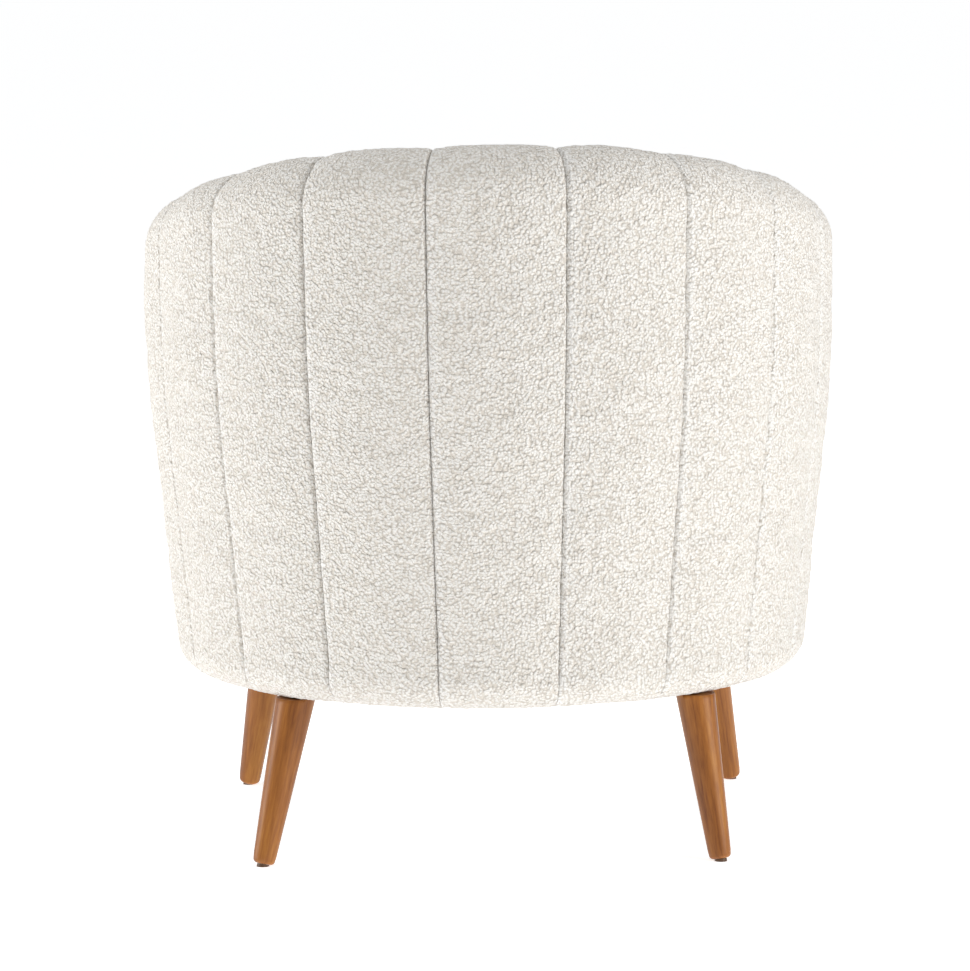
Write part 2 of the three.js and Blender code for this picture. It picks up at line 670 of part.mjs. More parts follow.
for (const leg of LEGS) {
  const bolt = uprightCylinder(BOLT_RADIUS, BOLT_IN_LEG + BOLT_IN_FRAME - 3, 12);
  add(`leg_${leg.name}`, 'leg_wood', turnedLeg(leg));
  add(`leg_plate_${leg.name}`, 'steel', legPlate(leg));
  add(`leg_bolt_${leg.name}`, 'steel', alongLeg(bolt, leg, LEG_TOP - BOLT_IN_LEG + 1));
  add(`leg_glide_${leg.name}`, 'nylon', glide(leg));
}

export default chair;
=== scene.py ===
import json
import math

import bpy
import numpy as np
from mathutils import Matrix, Vector
from mathutils.bvhtree import BVHTree
from mathutils.kdtree import KDTree


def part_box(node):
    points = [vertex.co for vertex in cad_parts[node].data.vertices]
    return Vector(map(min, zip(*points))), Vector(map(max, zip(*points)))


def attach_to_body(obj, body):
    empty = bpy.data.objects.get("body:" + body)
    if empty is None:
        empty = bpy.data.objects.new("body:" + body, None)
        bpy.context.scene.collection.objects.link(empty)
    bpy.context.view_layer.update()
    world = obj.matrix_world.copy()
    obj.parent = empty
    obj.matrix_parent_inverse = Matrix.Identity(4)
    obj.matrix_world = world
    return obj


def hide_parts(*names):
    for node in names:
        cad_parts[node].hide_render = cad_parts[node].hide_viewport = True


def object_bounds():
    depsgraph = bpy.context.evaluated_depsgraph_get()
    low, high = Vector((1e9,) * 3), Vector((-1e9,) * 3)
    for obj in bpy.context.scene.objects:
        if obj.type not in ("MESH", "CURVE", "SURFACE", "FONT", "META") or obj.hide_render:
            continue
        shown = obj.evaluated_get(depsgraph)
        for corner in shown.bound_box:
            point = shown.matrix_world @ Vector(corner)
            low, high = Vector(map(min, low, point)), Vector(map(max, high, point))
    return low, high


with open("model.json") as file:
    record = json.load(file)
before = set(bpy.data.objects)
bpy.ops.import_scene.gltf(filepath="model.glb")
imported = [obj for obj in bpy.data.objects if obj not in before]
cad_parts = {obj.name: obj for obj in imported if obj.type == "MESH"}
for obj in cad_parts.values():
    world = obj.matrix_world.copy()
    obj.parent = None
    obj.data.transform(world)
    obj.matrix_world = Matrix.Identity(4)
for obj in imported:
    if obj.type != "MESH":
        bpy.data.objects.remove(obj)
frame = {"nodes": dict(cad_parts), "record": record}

# Barrel armchair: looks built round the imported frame. Metres, +Z up, the front faces -Y.
# A place in the wall round the seat is (d, z, s): d outwards from the outer plan curve, z the height,
# and s along the curve from the middle of the back, + towards +X.

CAD_LOW, CAD_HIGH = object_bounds()
MM = 0.001

# ---- driving dimensions ----

HALF_WIDTH = CAD_HIGH.x
BACK_HEIGHT = CAD_HIGH.z
CURVE_CENTRE_Y = -18 * MM
BACK_DEPTH = CAD_HIGH.y - CURVE_CENTRE_Y
ARM_FRONT_Y = CAD_LOW.y
ARM_DROP = 115 * MM
DROP_LENGTH = 876 * MM
DROP_EASE = 1.206
RIM_RADIUS = 54 * MM
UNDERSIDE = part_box("arm_front_left")[0].z
FLARE_TOP = 620 * MM
FLARE_END = 450 * MM
FLARE_CURVE = 0.297
FLARE_SLOPE = 0.101
BOTTOM_RADIUS = 40 * MM
INNER_FACE = -117 * MM
CORE_FACE = -73 * MM
OUTER_PAD = 24 * MM
PAD_END = -70 * MM
INNER_BOTTOM = 276 * MM
CHANNELS = 13
PITCH = 139 * MM
QUARTER = HALF_WIDTH * math.pi / 2
CHANNEL_END = CHANNELS * PITCH / 2
ARM_END = QUARTER + CURVE_CENTRE_Y - ARM_FRONT_Y

LEG_TOPS = {
    "front_left": (-260 * MM, -238 * MM),
    "front_right": (255 * MM, -238 * MM),
    "rear_left": (-221 * MM, 199 * MM),
    "rear_right": (222 * MM, 199 * MM),
}

SEAM_SHIFT_LOW = 5.5 * MM
SEAM_SHIFT_HIGH = 16 * MM
SEAM_SHIFT_TOP = 750 * MM
SEAM_SHIFT_REACH = 120 * MM
SEAM_SHIFT_FADE = (350 * MM, 850 * MM)
BORDER_SINK = 2 * MM
NOSE_TUCK = 2 * MM
SEAM_SINK = 4 * MM        # how far the seams lie below the middle of a channel
TUCK_DEPTH = 2.8 * MM     # the narrow fold along a seam
TUCK_WIDTH = 1.7 * MM
LIP_WIDTH = 8 * MM        # the strip beside a seam that is pulled smooth, where the bouclé shader also paints the colour lighter, easing its painted shade
NUB_CELL = 7 * MM
NUB_HEIGHT = 1.5 * MM

# ---- camera ----

LONG_SIDE = 971
SENSOR = 36.0
FOCAL_PIXELS = 5695
TARGET = Vector((0, CURVE_CENTRE_Y, 0.38))
DISTANCE = 6.5
YAW = math.radians(1.36)
ELEVATION = math.radians(7.6)
ROLL = math.radians(0.406)
SHIFT_X, SHIFT_Y = -0.0052, 0.0081


def make_camera():
    data = bpy.data.cameras.new("camera")
    camera = bpy.data.objects.new("camera", data)
    bpy.context.collection.objects.link(camera)
    flat = DISTANCE * math.cos(ELEVATION)
    back = Vector((flat * math.sin(YAW), flat * math.cos(YAW), DISTANCE * math.sin(ELEVATION)))
    turn = (-back).to_track_quat("-Z", "Y").to_matrix() @ Matrix.Rotation(-ROLL, 3, "Z")
    camera.matrix_world = Matrix.Translation(TARGET + back) @ turn.to_4x4()
    data.sensor_width = SENSOR
    data.lens = SENSOR * FOCAL_PIXELS / LONG_SIDE
    data.shift_x, data.shift_y = SHIFT_X, SHIFT_Y
    data.clip_end = 100
    bpy.context.scene.camera = camera


# ---- shape of the wall ----


def in_wall(d, z, s):
    d, z, s = np.broadcast_arrays(d, z, s)
    angle = np.clip(s / HALF_WIDTH, -np.pi / 2, np.pi / 2)
    normal_x, normal_y = BACK_DEPTH * np.sin(angle), HALF_WIDTH * np.cos(angle)
    length = np.hypot(normal_x, normal_y)
    x = HALF_WIDTH * np.sin(angle) + d * normal_x / length
    y = CURVE_CENTRE_Y + BACK_DEPTH * np.cos(angle) + d * normal_y / length
    return np.stack([x, y - np.maximum(np.abs(s) - QUARTER, 0), z], axis=-1)


def rim_height(s):
    run = np.minimum(np.abs(s), DROP_LENGTH) / DROP_LENGTH
    return BACK_HEIGHT - ARM_DROP * ((1 - np.cos(np.pi * run)) / 2) ** DROP_EASE


def flare(z):
    curved = np.maximum(FLARE_TOP - np.maximum(z, FLARE_END), 0)
    return -FLARE_CURVE * curved**2 - FLARE_SLOPE * np.maximum(FLARE_END - z, 0)


def smooth(t):
    t = np.clip(t, 0, 1)
    return t * t * (3 - 2 * t)


def seam_shift(s, z):
    """The channels widen upwards in the middle of the back: how far a seam lies from its even place."""
    rise = np.clip((z - UNDERSIDE) / (SEAM_SHIFT_TOP - UNDERSIDE), 0, 1)
    most = SEAM_SHIFT_LOW + (SEAM_SHIFT_HIGH - SEAM_SHIFT_LOW) * rise
    start, end = SEAM_SHIFT_FADE
    fade = 1 - smooth((np.abs(s) - start) / (end - start))
    return most * np.tanh(s / SEAM_SHIFT_REACH) * fade


# ---- noise ----


def hashed(cells, salt):
    """A repeatable number from 0 to 1 for each whole-number cell."""
    x, y, z = (cells[..., i].astype(np.int64) for i in range(3))
    h = (x * 73856093) ^ (y * 19349663) ^ (z * 83492791) ^ (salt * 2654435761)
    h = (h ^ (h >> 13)) * 1274126177 & 0xFFFFFFFF
    h = (h ^ (h >> 16)) * 2246822519 & 0xFFFFFFFF
    return ((h ^ (h >> 15)) & 0xFFFFFF) / 0xFFFFFF


def nubs(points, cell, salt=1):
    """Distance to the nearest of a scatter of centres, one in each cell, as a share of the cell."""
    scaled = points / cell
    base = np.floor(scaled)
    nearest = np.full(points.shape[:-1], 9.0)
    steps = (-1, 0, 1)
    for offset in np.array([(a, b, c) for a in steps for b in steps for c in steps]):
        corner = base + offset
        centre = corner + np.stack([hashed(corner, salt + k) for k in range(3)], axis=-1)
        nearest = np.minimum(nearest, np.linalg.norm(scaled - centre, axis=-1))
    return nearest


def soft_noise(points, cell, salt=11):
    """Smooth value noise from -1 to 1."""
    scaled = points / cell
    base = np.floor(scaled)
    part = smooth(scaled - base)
    total = np.zeros(points.shape[:-1])
    for a in (0, 1):
        for b in (0, 1):
            for c in (0, 1):
                share = np.prod(np.where([a, b, c], part, 1 - part), axis=-1)
                total += share * hashed(base + (a, b, c), salt)
    return 2 * total - 1


# ---- meshes ----


def mesh_object(name, points, faces, material=None, smooth_faces=True):
    """A new object from points and faces."""
    mesh = bpy.data.meshes.new(name)
    faces = faces.tolist() if isinstance(faces, np.ndarray) else faces
    mesh.from_pydata(np.asarray(points, dtype=np.float32).reshape(-1, 3).tolist(), [], faces)
    mesh.update(calc_edges=True)
    mesh.validate()
    mesh.polygons.foreach_set("use_smooth", np.full(len(mesh.polygons), smooth_faces))
    piece = bpy.data.objects.new(name, mesh)
    bpy.context.collection.objects.link(piece)
    if material:
        mesh.materials.append(material)
    return piece


def grid_quads(rows, columns, start=0, closed=False):
    """Quads over a grid of points, row by row. closed joins the last column to the first."""
    a = np.arange(rows - 1)[:, None] * columns
    b = np.arange(columns if closed else columns - 1)[None, :]
    right = (b + 1) % columns
    quads = np.stack([a + b, a + right, a + columns + right, a + columns + b], axis=-1)
    return start + quads.reshape(-1, 4)


def capped_quads(rows, columns, start=0):
    """Faces of a closed form made of rings of points, with a cap at each end."""
    faces = grid_quads(rows, columns, start, closed=True).tolist()
    last = start + (rows - 1) * columns
    return faces + [[start + i for i in range(columns)][::-1], [last + i for i in range(columns)]]


def unit(vectors):
    return vectors / np.maximum(np.linalg.norm(vectors, axis=-1, keepdims=True), 1e-12)


def grid_normals(points):
    return unit(np.cross(np.gradient(points, axis=1), np.gradient(points, axis=0)))


def boundary_loop(rows, columns):
    """The points round the edge of a grid, in order."""
    top = np.arange(columns)
    right = np.arange(1, rows) * columns + columns - 1
    bottom = (rows - 1) * columns + np.arange(columns - 2, -1, -1)
    left = np.arange(rows - 2, 0, -1) * columns
    return np.concatenate([top, right, bottom, left])


def vertices_of(mesh):
    points = np.empty(len(mesh.vertices) * 3, dtype=np.float32)
    mesh.vertices.foreach_get("co", points)
    return points.reshape(-1, 3).astype(float)


def normals_of(mesh):
    normals = np.empty(len(mesh.vertices) * 3, dtype=np.float32)
    mesh.vertex_normals.foreach_get("vector", normals)
    return normals.reshape(-1, 3).astype(float)


def move_vertices(mesh, points):
    mesh.vertices.foreach_set("co", points.astype(np.float32).ravel())
    mesh.update()


def point_attribute(mesh, name, kind, field, values):
    data = mesh.attributes.new(name, kind, "POINT").data
    data.foreach_set(field, values.astype(np.float32).ravel())


def evaluated(piece):
    return piece.evaluated_get(bpy.context.evaluated_depsgraph_get())


def apply_modifiers(piece):
    """Bakes a piece's modifiers into its mesh."""
    shaped = bpy.data.meshes.new_from_object(evaluated(piece))
    materials = [slot.material for slot in piece.material_slots]
    piece.modifiers.clear()
    piece.data = shaped
    shaped.materials.clear()
    for material in materials:
        shaped.materials.append(material)
    shaped.polygons.foreach_set("use_smooth", np.ones(len(shaped.polygons), dtype=bool))


def attach(piece, body, slot, *nodes, fill=None):
    """Says what a piece rides on and hides the nodes it stands for; slot, its material slot, and fill,
    how full it is, are not used.
    """
    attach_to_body(piece, body)
    if nodes:
        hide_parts(*nodes)


# ---- padded skins ----

COLUMN_STEP = 3.9 * MM
COARSE_STEP = 11 * MM
SEAM_GAP = 0.4 * MM      # each pad stops this far short of its seam
CHANNEL_RUN = 1.2        # about how long a channel is, from the seat over the rim to the hem
ROW_ENDS = np.cumsum([110, 46, 128, 18])   # rows up the inside, over the rim, down and under
ROW_COUNT = int(ROW_ENDS[-1])


def seam_columns(width, step):
    """Shares of the width for a grid's columns, close together near the two seams."""
    near = np.array([0, 0.7, 1.5, 2.4, 3.5, 5, 7.2]) * MM
    middle = np.linspace(near[-1], width - near[-1], max(int((width - 2 * near[-1]) / step), 2) + 1)
    return np.concatenate([near[:-1], middle, width - near[-2::-1]]) / width


class Skin:
    """A padded surface: place(u, w) gives points for rows u and columns w, both from 0 to 1.

    core(u, w) is its face against the frame. length and width are about those of the cloth.
    """

    def __init__(self, name, place, core, rows, length, width):
        self.name, self.place, self.core = name, place, core
        self.rows, self.columns, self.width = rows, seam_columns(width, COLUMN_STEP), width
        self.coarse_rows = np.linspace(0, 1, int(length / COARSE_STEP) + 1)
        self.coarse_columns = np.linspace(0, 1, int(width / COARSE_STEP) + 1)
        self.rise = None

    def coarse(self):
        return self.place(self.coarse_rows[:, None], self.coarse_columns[None, :])


def spread(coarse_at, fine_at):
    """The matrix that takes values at coarse_at to fine_at with a Catmull-Rom curve."""
    count = len(coarse_at)
    position = np.interp(fine_at, coarse_at, np.arange(count))
    base = np.clip(np.floor(position).astype(int), 0, count - 2)
    t = position - base
    weights = [
        -0.5 * t + t**2 - 0.5 * t**3,
        1 - 2.5 * t**2 + 1.5 * t**3,
        0.5 * t + 2 * t**2 - 1.5 * t**3,
        -0.5 * t**2 + 0.5 * t**3,
    ]
    matrix = np.zeros((len(fine_at), count))
    for k, weight in enumerate(weights):
        np.add.at(matrix, (np.arange(len(fine_at)), np.clip(base + k - 1, 0, count - 1)), weight)
    return matrix


def wall_path(u, s):
    """(d, z) of the skin for rows u: up the inside, over the rim, down the outside and under."""
    u, s = np.broadcast_arrays(u, s)
    rim_centre = rim_height(s) - RIM_RADIUS
    corner_z = UNDERSIDE + BOTTOM_RADIUS
    ends = ROW_ENDS / ROW_COUNT
    inner = np.clip(u / ends[0], 0, 1)
    z = INNER_BOTTOM + (rim_centre - INNER_BOTTOM) * inner
    lean = smooth((z - FLARE_END) / (rim_centre - FLARE_END))
    d = INNER_FACE - (INNER_FACE + 2 * RIM_RADIUS) * lean
    angle = math.pi * (1 - np.clip((u - ends[0]) / (ends[1] - ends[0]), 0, 1))
    on_rim = u > ends[0]
    d = np.where(on_rim, RIM_RADIUS * (np.cos(angle) - 1), d)
    z = np.where(on_rim, rim_centre + RIM_RADIUS * np.sin(angle), z)
    outer = np.clip((u - ends[1]) / (ends[2] - ends[1]), 0, 1)
    outer_z = rim_centre + (corner_z - rim_centre) * outer
    z = np.where(u > ends[1], outer_z, z)
    d = np.where(u > ends[1], flare(outer_z), d)
    turn = math.pi / 2 * np.clip((u - ends[2]) / (1 - ends[2]), 0, 1)
    corner_d = flare(corner_z) - BOTTOM_RADIUS * (1 - np.cos(turn))
    z = np.where(u > ends[2], corner_z - (BOTTOM_RADIUS - MM) * np.sin(turn), z)
    d = np.where(u > ends[2], corner_d, d)
    return d, z


def wall_core(u, s):
    """(d, z) of the pad's face against the frame, for the same rows."""
    d, z = wall_path(u, s)
    rim_centre = rim_height(s) - RIM_RADIUS
    ends = ROW_ENDS / ROW_COUNT
    centre, half = (CORE_FACE - OUTER_PAD) / 2, (-CORE_FACE - OUTER_PAD) / 2
    angle = math.pi * (1 - np.clip((u - ends[0]) / (ends[1] - ends[0]), 0, 1))
    across, up = np.cos(angle), np.sin(angle)
    core_d = np.where(u <= ends[0], CORE_FACE, centre + half * np.sign(across) * np.abs(across) ** 0.5)
    core_z = np.where((u > ends[0]) & (u < ends[1]), rim_centre + 28 * MM * np.abs(up) ** 0.5, z)
    core_d = np.where(u > ends[1], flare(z) - OUTER_PAD, core_d)
    low = u > ends[2]
    core_d = np.where(low, np.maximum(flare(z) - OUTER_PAD, PAD_END), core_d)
    core_z = np.where(low, np.maximum(z, UNDERSIDE + 5.5 * MM), core_z)
    return core_d, core_z


def channel_skin(index):
    start = (index - CHANNELS / 2) * PITCH + SEAM_GAP
    width = PITCH - 2 * SEAM_GAP

    def sewn(path, u, w):
        s = start + width * w
        d, z = path(u, s + seam_shift(s, BACK_HEIGHT))
        return in_wall(d, z, s + seam_shift(s, z))

    def place(u, w):
        return sewn(wall_path, u, w)

    def core(u, w):
        return sewn(wall_core, u, w)

    rows = np.linspace(0, 1, ROW_COUNT + 1)
    return Skin(f"channel_{index + 1:02d}", place, core, rows, CHANNEL_RUN, width)


NOSE_LENGTH = ARM_END - CHANNEL_END - SEAM_GAP
NOSE_POWER = 2 / 2.6
NOSE_CORNER = 26 * MM
NOSE_PAD = 18 * MM
NOSE_ROWS = 150
NOSE_RUN, NOSE_GIRTH = 0.6, 0.19
NOSE_PARTS = np.array([0.05, 0.09, 0.80])   # under, corner and upright shares of the rows


def arm_front_skin(side):
    """The rounded end of an arm: columns go round the nose, rows from underneath to the crown."""
    start = CHANNEL_END + SEAM_GAP
    rim_centre = float(rim_height(start)) - RIM_RADIUS
    low = UNDERSIDE + MM

    def place(u, w, shrink=0.0):
        u, w = np.broadcast_arrays(u, w)
        under, corner, upright = NOSE_PARTS.cumsum()
        turn = math.pi / 2 * np.clip((u - under) / (corner - under), 0, 1)
        lift = np.clip((u - corner) / (upright - corner), 0, 1)
        dome = math.pi / 2 * np.clip((u - upright) / (1 - upright), 0, 1)
        z = low + NOSE_CORNER * (1 - np.cos(turn))
        z = np.where(u > corner, low + NOSE_CORNER + (rim_centre - low - NOSE_CORNER) * lift, z)
        tucked = NOSE_CORNER + 12 * MM * (1 - u / under)
        cut = np.where(u < under, tucked, NOSE_CORNER * (1 - np.sin(turn)))
        cut = np.where(u > corner, 0, cut) + shrink
        lean = smooth((z - FLARE_END) / (rim_centre - FLARE_END))
        inner = INNER_FACE - (INNER_FACE + 2 * RIM_RADIUS) * lean
        outer = flare(z)
        middle, half = (inner + outer) / 2, (outer - inner) / 2 - cut
        scale = np.cos(dome)
        angle = math.pi * (w - 0.5) * side
        across = np.sign(np.sin(angle)) * np.abs(np.sin(angle)) ** NOSE_POWER
        forward = np.abs(np.cos(angle)) ** NOSE_POWER
        d = middle + half * scale * across
        s = start + (NOSE_LENGTH - cut) * scale * forward
        return in_wall(d, z + RIM_RADIUS * np.sin(dome), side * s)

    def core(u, w):
        return place(u, w, NOSE_PAD)

    name = "arm_front_left" if side < 0 else "arm_front_right"
    return Skin(name, place, core, np.linspace(0, 1, NOSE_ROWS), NOSE_RUN, NOSE_GIRTH)


BORDER_RADIUS = 17 * MM
BORDER_ROWS = 60


def border_skin():
    """The padded border below the cushion: columns run across the chair, rows round its front."""
    low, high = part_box("front_border")
    radius = BORDER_RADIUS
    back_y, front_y, bottom, top = high.y, low.y, low.z + MM, high.z
    half = high.x
    lengths = [back_y - front_y - radius, radius * math.pi / 2, top - bottom - 2 * radius]
    lengths += lengths[1::-1]
    ends = np.cumsum([0] + lengths) / sum(lengths)

    def place(u, w):
        u, w = np.broadcast_arrays(u, w)
        part = [np.clip((u - a) / (b - a), 0, 1) for a, b in zip(ends[:-1], ends[1:])]
        y = back_y - (back_y - front_y - radius) * part[0]
        z = np.full(u.shape, bottom)
        turn = math.pi / 2 * part[1]
        y = y - radius * np.sin(turn)
        z = z + radius * (1 - np.cos(turn)) + (top - bottom - 2 * radius) * part[2]
        turn = math.pi / 2 * part[3]
        y = y + radius * (1 - np.cos(turn)) + (back_y - front_y - radius) * part[4]
        z = z + radius * np.sin(turn)
        return np.stack([half * (2 * w - 1), y, z], axis=-1)

    def core(u, w):
        points = place(u, w)
        points[..., 1] = back_y
        return points

    rows = np.linspace(0, 1, BORDER_ROWS)
    return Skin("front_border", place, core, rows, sum(lengths), 2 * half)


# ---- cloth ----

SKIN_FRAMES = 16
SKIN_CLOTH = {
    "quality": 6, "mass": 0.3, "tension_stiffness": 12, "compression_stiffness": 12,
    "shear_stiffness": 4, "bending_stiffness": 0.4, "uniform_pressure_force": 3.0, "shrink_min": -0.012,
}


def blow_up(piece, held, frames, cloth_settings):
    """Runs Blender's cloth with pressure, some points held, and gives the places of the points."""
    group = piece.vertex_groups.new(name="held")
    group.add(held.tolist(), 1.0, "REPLACE")
    cloth = piece.modifiers.new("cloth", "CLOTH")
    for key, value in cloth_settings.items():
        setattr(cloth.settings, key, value)
    cloth.settings.use_pressure = True
    cloth.settings.vertex_group_mass = "held"
    cloth.settings.effector_weights.gravity = 0
    cloth.point_cache.frame_start, cloth.point_cache.frame_end = 1, frames
    for number in range(1, frames + 1):
        bpy.context.scene.frame_set(number)
    points = vertices_of(evaluated(piece).data)
    piece.modifiers.remove(cloth)
    bpy.context.scene.frame_set(1)
    return points


def simulate_skins(skins):
    """Blows all the skins up between their seams at once, and keeps how far each point rises."""
    points, faces, pins, starts = [], [], [], []
    count = 0
    for skin in skins:
        flat = skin.coarse()
        rows, columns = flat.shape[:2]
        starts.append((count, rows, columns, flat, grid_normals(flat)))
        points.append(flat.reshape(-1, 3))
        faces.append(grid_quads(rows, columns, count))
        pins.append(boundary_loop(rows, columns) + count)
        count += rows * columns
    sheet = mesh_object("skins", np.concatenate(points), np.concatenate(faces))
    after = blow_up(sheet, np.concatenate(pins), SKIN_FRAMES, SKIN_CLOTH)
    for skin, (first, rows, columns, flat, normals) in zip(skins, starts):
        now = after[first:first + rows * columns].reshape(rows, columns, 3)
        skin.rise = np.einsum("ijk,ijk->ij", now - flat, normals)
    bpy.data.objects.remove(sheet)


def rise_of(skin):
    """How far the fabric stands up between the seams, on the fine grid, with the middle at about 1."""
    across = 1 - (2 * skin.coarse_columns[None, :] - 1) ** 2
    level = np.ones((len(skin.coarse_rows), 1))
    if skin.rise is not None:
        middle = np.clip(skin.rise[:, skin.rise.shape[1] // 2], 0, None)[:, None]
        share = middle / np.median(middle)
        level = np.clip(share, 0.84, 1.12)
        shape = np.clip(skin.rise / np.maximum(middle, 0.3 * np.median(middle)), 0, 1.3)
        across = across + 0.5 * smooth((share - 0.3) / 0.4) * (shape - across)
    to_rows = spread(skin.coarse_rows, skin.rows)
    to_columns = spread(skin.coarse_columns, skin.columns)
    return np.clip(to_rows @ (across * level) @ to_columns.T, 0, 1.2)


def held_below(u):
    """1 down the wall, falling to 0 where the fabric is pulled flat under the bottom edge."""
    start = (ROW_ENDS[2] - 4) / ROW_COUNT
    return 1 - smooth((u - start) / (1 - start) * 1.3)


def padded_piece(skin, material, sink, tuck, hold=None):
    """A pad: the skin with its rise, seams, puckers, lumps and nubs, closed against the frame."""
    u, w = skin.rows[:, None], skin.columns[None, :]
    base = skin.place(u, w)
    normals = grid_normals(base)
    seam = np.minimum(skin.columns, 1 - skin.columns)[None, :] * skin.width
    along = base - normals * 20 * MM
    pull = 1 + 0.35 * soft_noise(along, 16 * MM, 5)
    fold = tuck * pull * np.exp(-(seam / TUCK_WIDTH) ** 2)
    pucker = 0.8 * MM * soft_noise(base, 13 * MM, 23) * np.exp(-seam / (14 * MM))
    lumps = 1.2 * MM * soft_noise(base, 55 * MM, 31) * smooth(seam / (20 * MM))
    grain = NUB_HEIGHT * (0.55 - nubs(base, NUB_CELL)) + 0.5 * MM * soft_noise(base, 4 * MM, 41)
    rows, columns = base.shape[:2]
    lip = np.exp(-((1 - skin.columns) * skin.width / LIP_WIDTH) ** 2) * np.ones((rows, 1))
    held = hold(u) if hold else 1.0
    height = held * (sink * (rise_of(skin) - 1) - fold) + pucker + lumps + grain * (1 - 0.6 * lip)
    top = base + normals * height[..., None]
    core = skin.core(u, np.array([[0.0, 1.0]]))
    core_start = rows * columns
    quads = [grid_quads(rows, columns), grid_quads(rows, 2, core_start)[:, ::-1]]
    left = np.arange(rows - 1) * columns
    right = left + columns - 1
    core_left = core_start + 2 * np.arange(rows - 1)
    core_right = core_left + 1
    quads.append(np.stack([left, left + columns, core_left + 2, core_left], axis=-1))
    quads.append(np.stack([core_right, core_right + 2, right + columns, right], axis=-1))
    faces = np.concatenate(quads).tolist()
    first_end = list(range(columns)) + [core_start + 1, core_start]
    last = (rows - 1) * columns
    core_end = core_start + 2 * rows
    last_end = [last + i for i in range(columns)] + [core_end - 1, core_end - 2]
    faces += [first_end, last_end[::-1]]
    points = np.concatenate([top.reshape(-1, 3), core.reshape(-1, 3)])
    piece = mesh_object(skin.name + "_pad", points, faces, material)
    # The lip also goes to the bouclé shader, which paints that strip lighter, easing its painted shade.
    lips = np.concatenate([lip.ravel(), np.zeros(len(points) - lip.size)])
    point_attribute(piece.data, "lip", "FLOAT", "value", lips)
    attach(piece, "chair_body", "boucle", skin.name, fill=0.8)


# ---- materials ----


class Nodes:
    """Shorthand for building one material's node tree."""

    def __init__(self, name):
        self.material = bpy.data.materials.new(name)
        self.material.use_nodes = True
        self.tree = self.material.node_tree
        self.shader = self.tree.nodes["Principled BSDF"]
        self.place = self.add("ShaderNodeTexCoord").outputs["Object"]

    def add(self, kind, **settings):
        node = self.tree.nodes.new(kind)
        for key, value in settings.items():
            setattr(node, key, value)
        return node

    def link(self, source, target):
        self.tree.links.new(source, target)

    def set(self, node, **values):
        for key, value in values.items():
            node.inputs[key.replace("_", " ")].default_value = value
        return node

    def math(self, operation, a, b=None):
        node = self.add("ShaderNodeMath", operation=operation)
        for socket, value in zip(node.inputs, (a, b)):
            if value is None:
                continue
            if isinstance(value, (int, float)):
                socket.default_value = value
            else:
                self.link(value, socket)
        return node.outputs[0]

    def ramp(self, source, stops):
        node = self.add("ShaderNodeValToRGB")
        ramp = node.color_ramp
        while len(ramp.elements) < len(stops):
            ramp.elements.new(0.5)
        for element, (place, colour) in zip(ramp.elements, stops):
            element.position = place
            element.color = (*colour, 1)
        self.link(source, node.inputs["Fac"])
        return node.outputs["Color"]

    def mix(self, a, share_a, b, share_b=None):
        """a and b added up by their shares. b counts in full where it has none."""
        part = b if share_b is None else self.math("MULTIPLY", b, share_b)
        return self.math("ADD", self.math("MULTIPLY", a, share_a), part)

    def noise(self, vector, scale, detail=2.0, roughness=0.5, output="Fac"):
        node = self.add("ShaderNodeTexNoise")
        self.set(node, Scale=scale, Detail=detail, Roughness=roughness)
        self.link(vector, node.inputs["Vector"])
        return node.outputs[output]

    def warp(self, vector, amount, *noise_settings):
        """The vector, pushed about by coloured noise."""
        node = self.add("ShaderNodeVectorMath", operation="MULTIPLY_ADD")
        self.link(self.noise(vector, *noise_settings, output="Color"), node.inputs[0])
        node.inputs[1].default_value = (amount, amount, amount)
        self.link(vector, node.inputs[2])
        return node.outputs[0]

    def bump(self, height, strength, distance):
        node = self.add("ShaderNodeBump")
        node.inputs["Strength"].default_value = strength
        node.inputs["Distance"].default_value = distance
        self.link(height, node.inputs["Height"])
        return node.outputs["Normal"]

    def finish(self, colour, bump, **values):
        """Gives the shader its colour, its bump (height, strength, distance) and its own values."""
        self.link(colour, self.shader.inputs["Base Color"])
        self.link(self.bump(*bump), self.shader.inputs["Normal"])
        self.set(self.shader, **values)
        return self.material


def boucle_material():
    """Looped yarn: small round nubs close together, with fine curls on them and soft gaps between, the
    gaps painted darker as painted shade.
    """
    n = Nodes("boucle_fabric")
    shifted = n.warp(n.place, 0.003, 220, 2)
    loops = n.add("ShaderNodeTexVoronoi", feature="F1")
    n.set(loops, Scale=310, Randomness=0.9)
    n.link(shifted, loops.inputs["Vector"])
    reach = n.math("MULTIPLY", loops.outputs["Distance"], 1.35)
    dome = n.math("SUBTRACT", 1.0, n.math("MULTIPLY", reach, reach))
    height = n.mix(n.noise(shifted, 800, 2, 0.6), 0.5, dome)
    # The lip lifts the colour along the strip beside each seam: a painted lighter strip that eases the
    # painted shade between loops there.
    lip = n.add("ShaderNodeAttribute", attribute_name="lip").outputs["Fac"]
    shade = n.mix(lip, 0.22, n.mix(height, 0.6, n.noise(n.place, 75, 2), 0.22))
    # Ramp stops: darkest in the gaps between loops and curls, a painted shade, up to the lighter nub
    # tops.
    stops = [(0.40, (0.77, 0.715, 0.64)), (0.62, (0.86, 0.825, 0.77)), (0.84, (0.925, 0.905, 0.87))]
    return n.finish(n.ramp(shade, stops), (height, 1.0, 1.45 * MM), Roughness=0.92,
                    Specular_IOR_Level=0.2, Sheen_Weight=0.2, Sheen_Roughness=0.5)


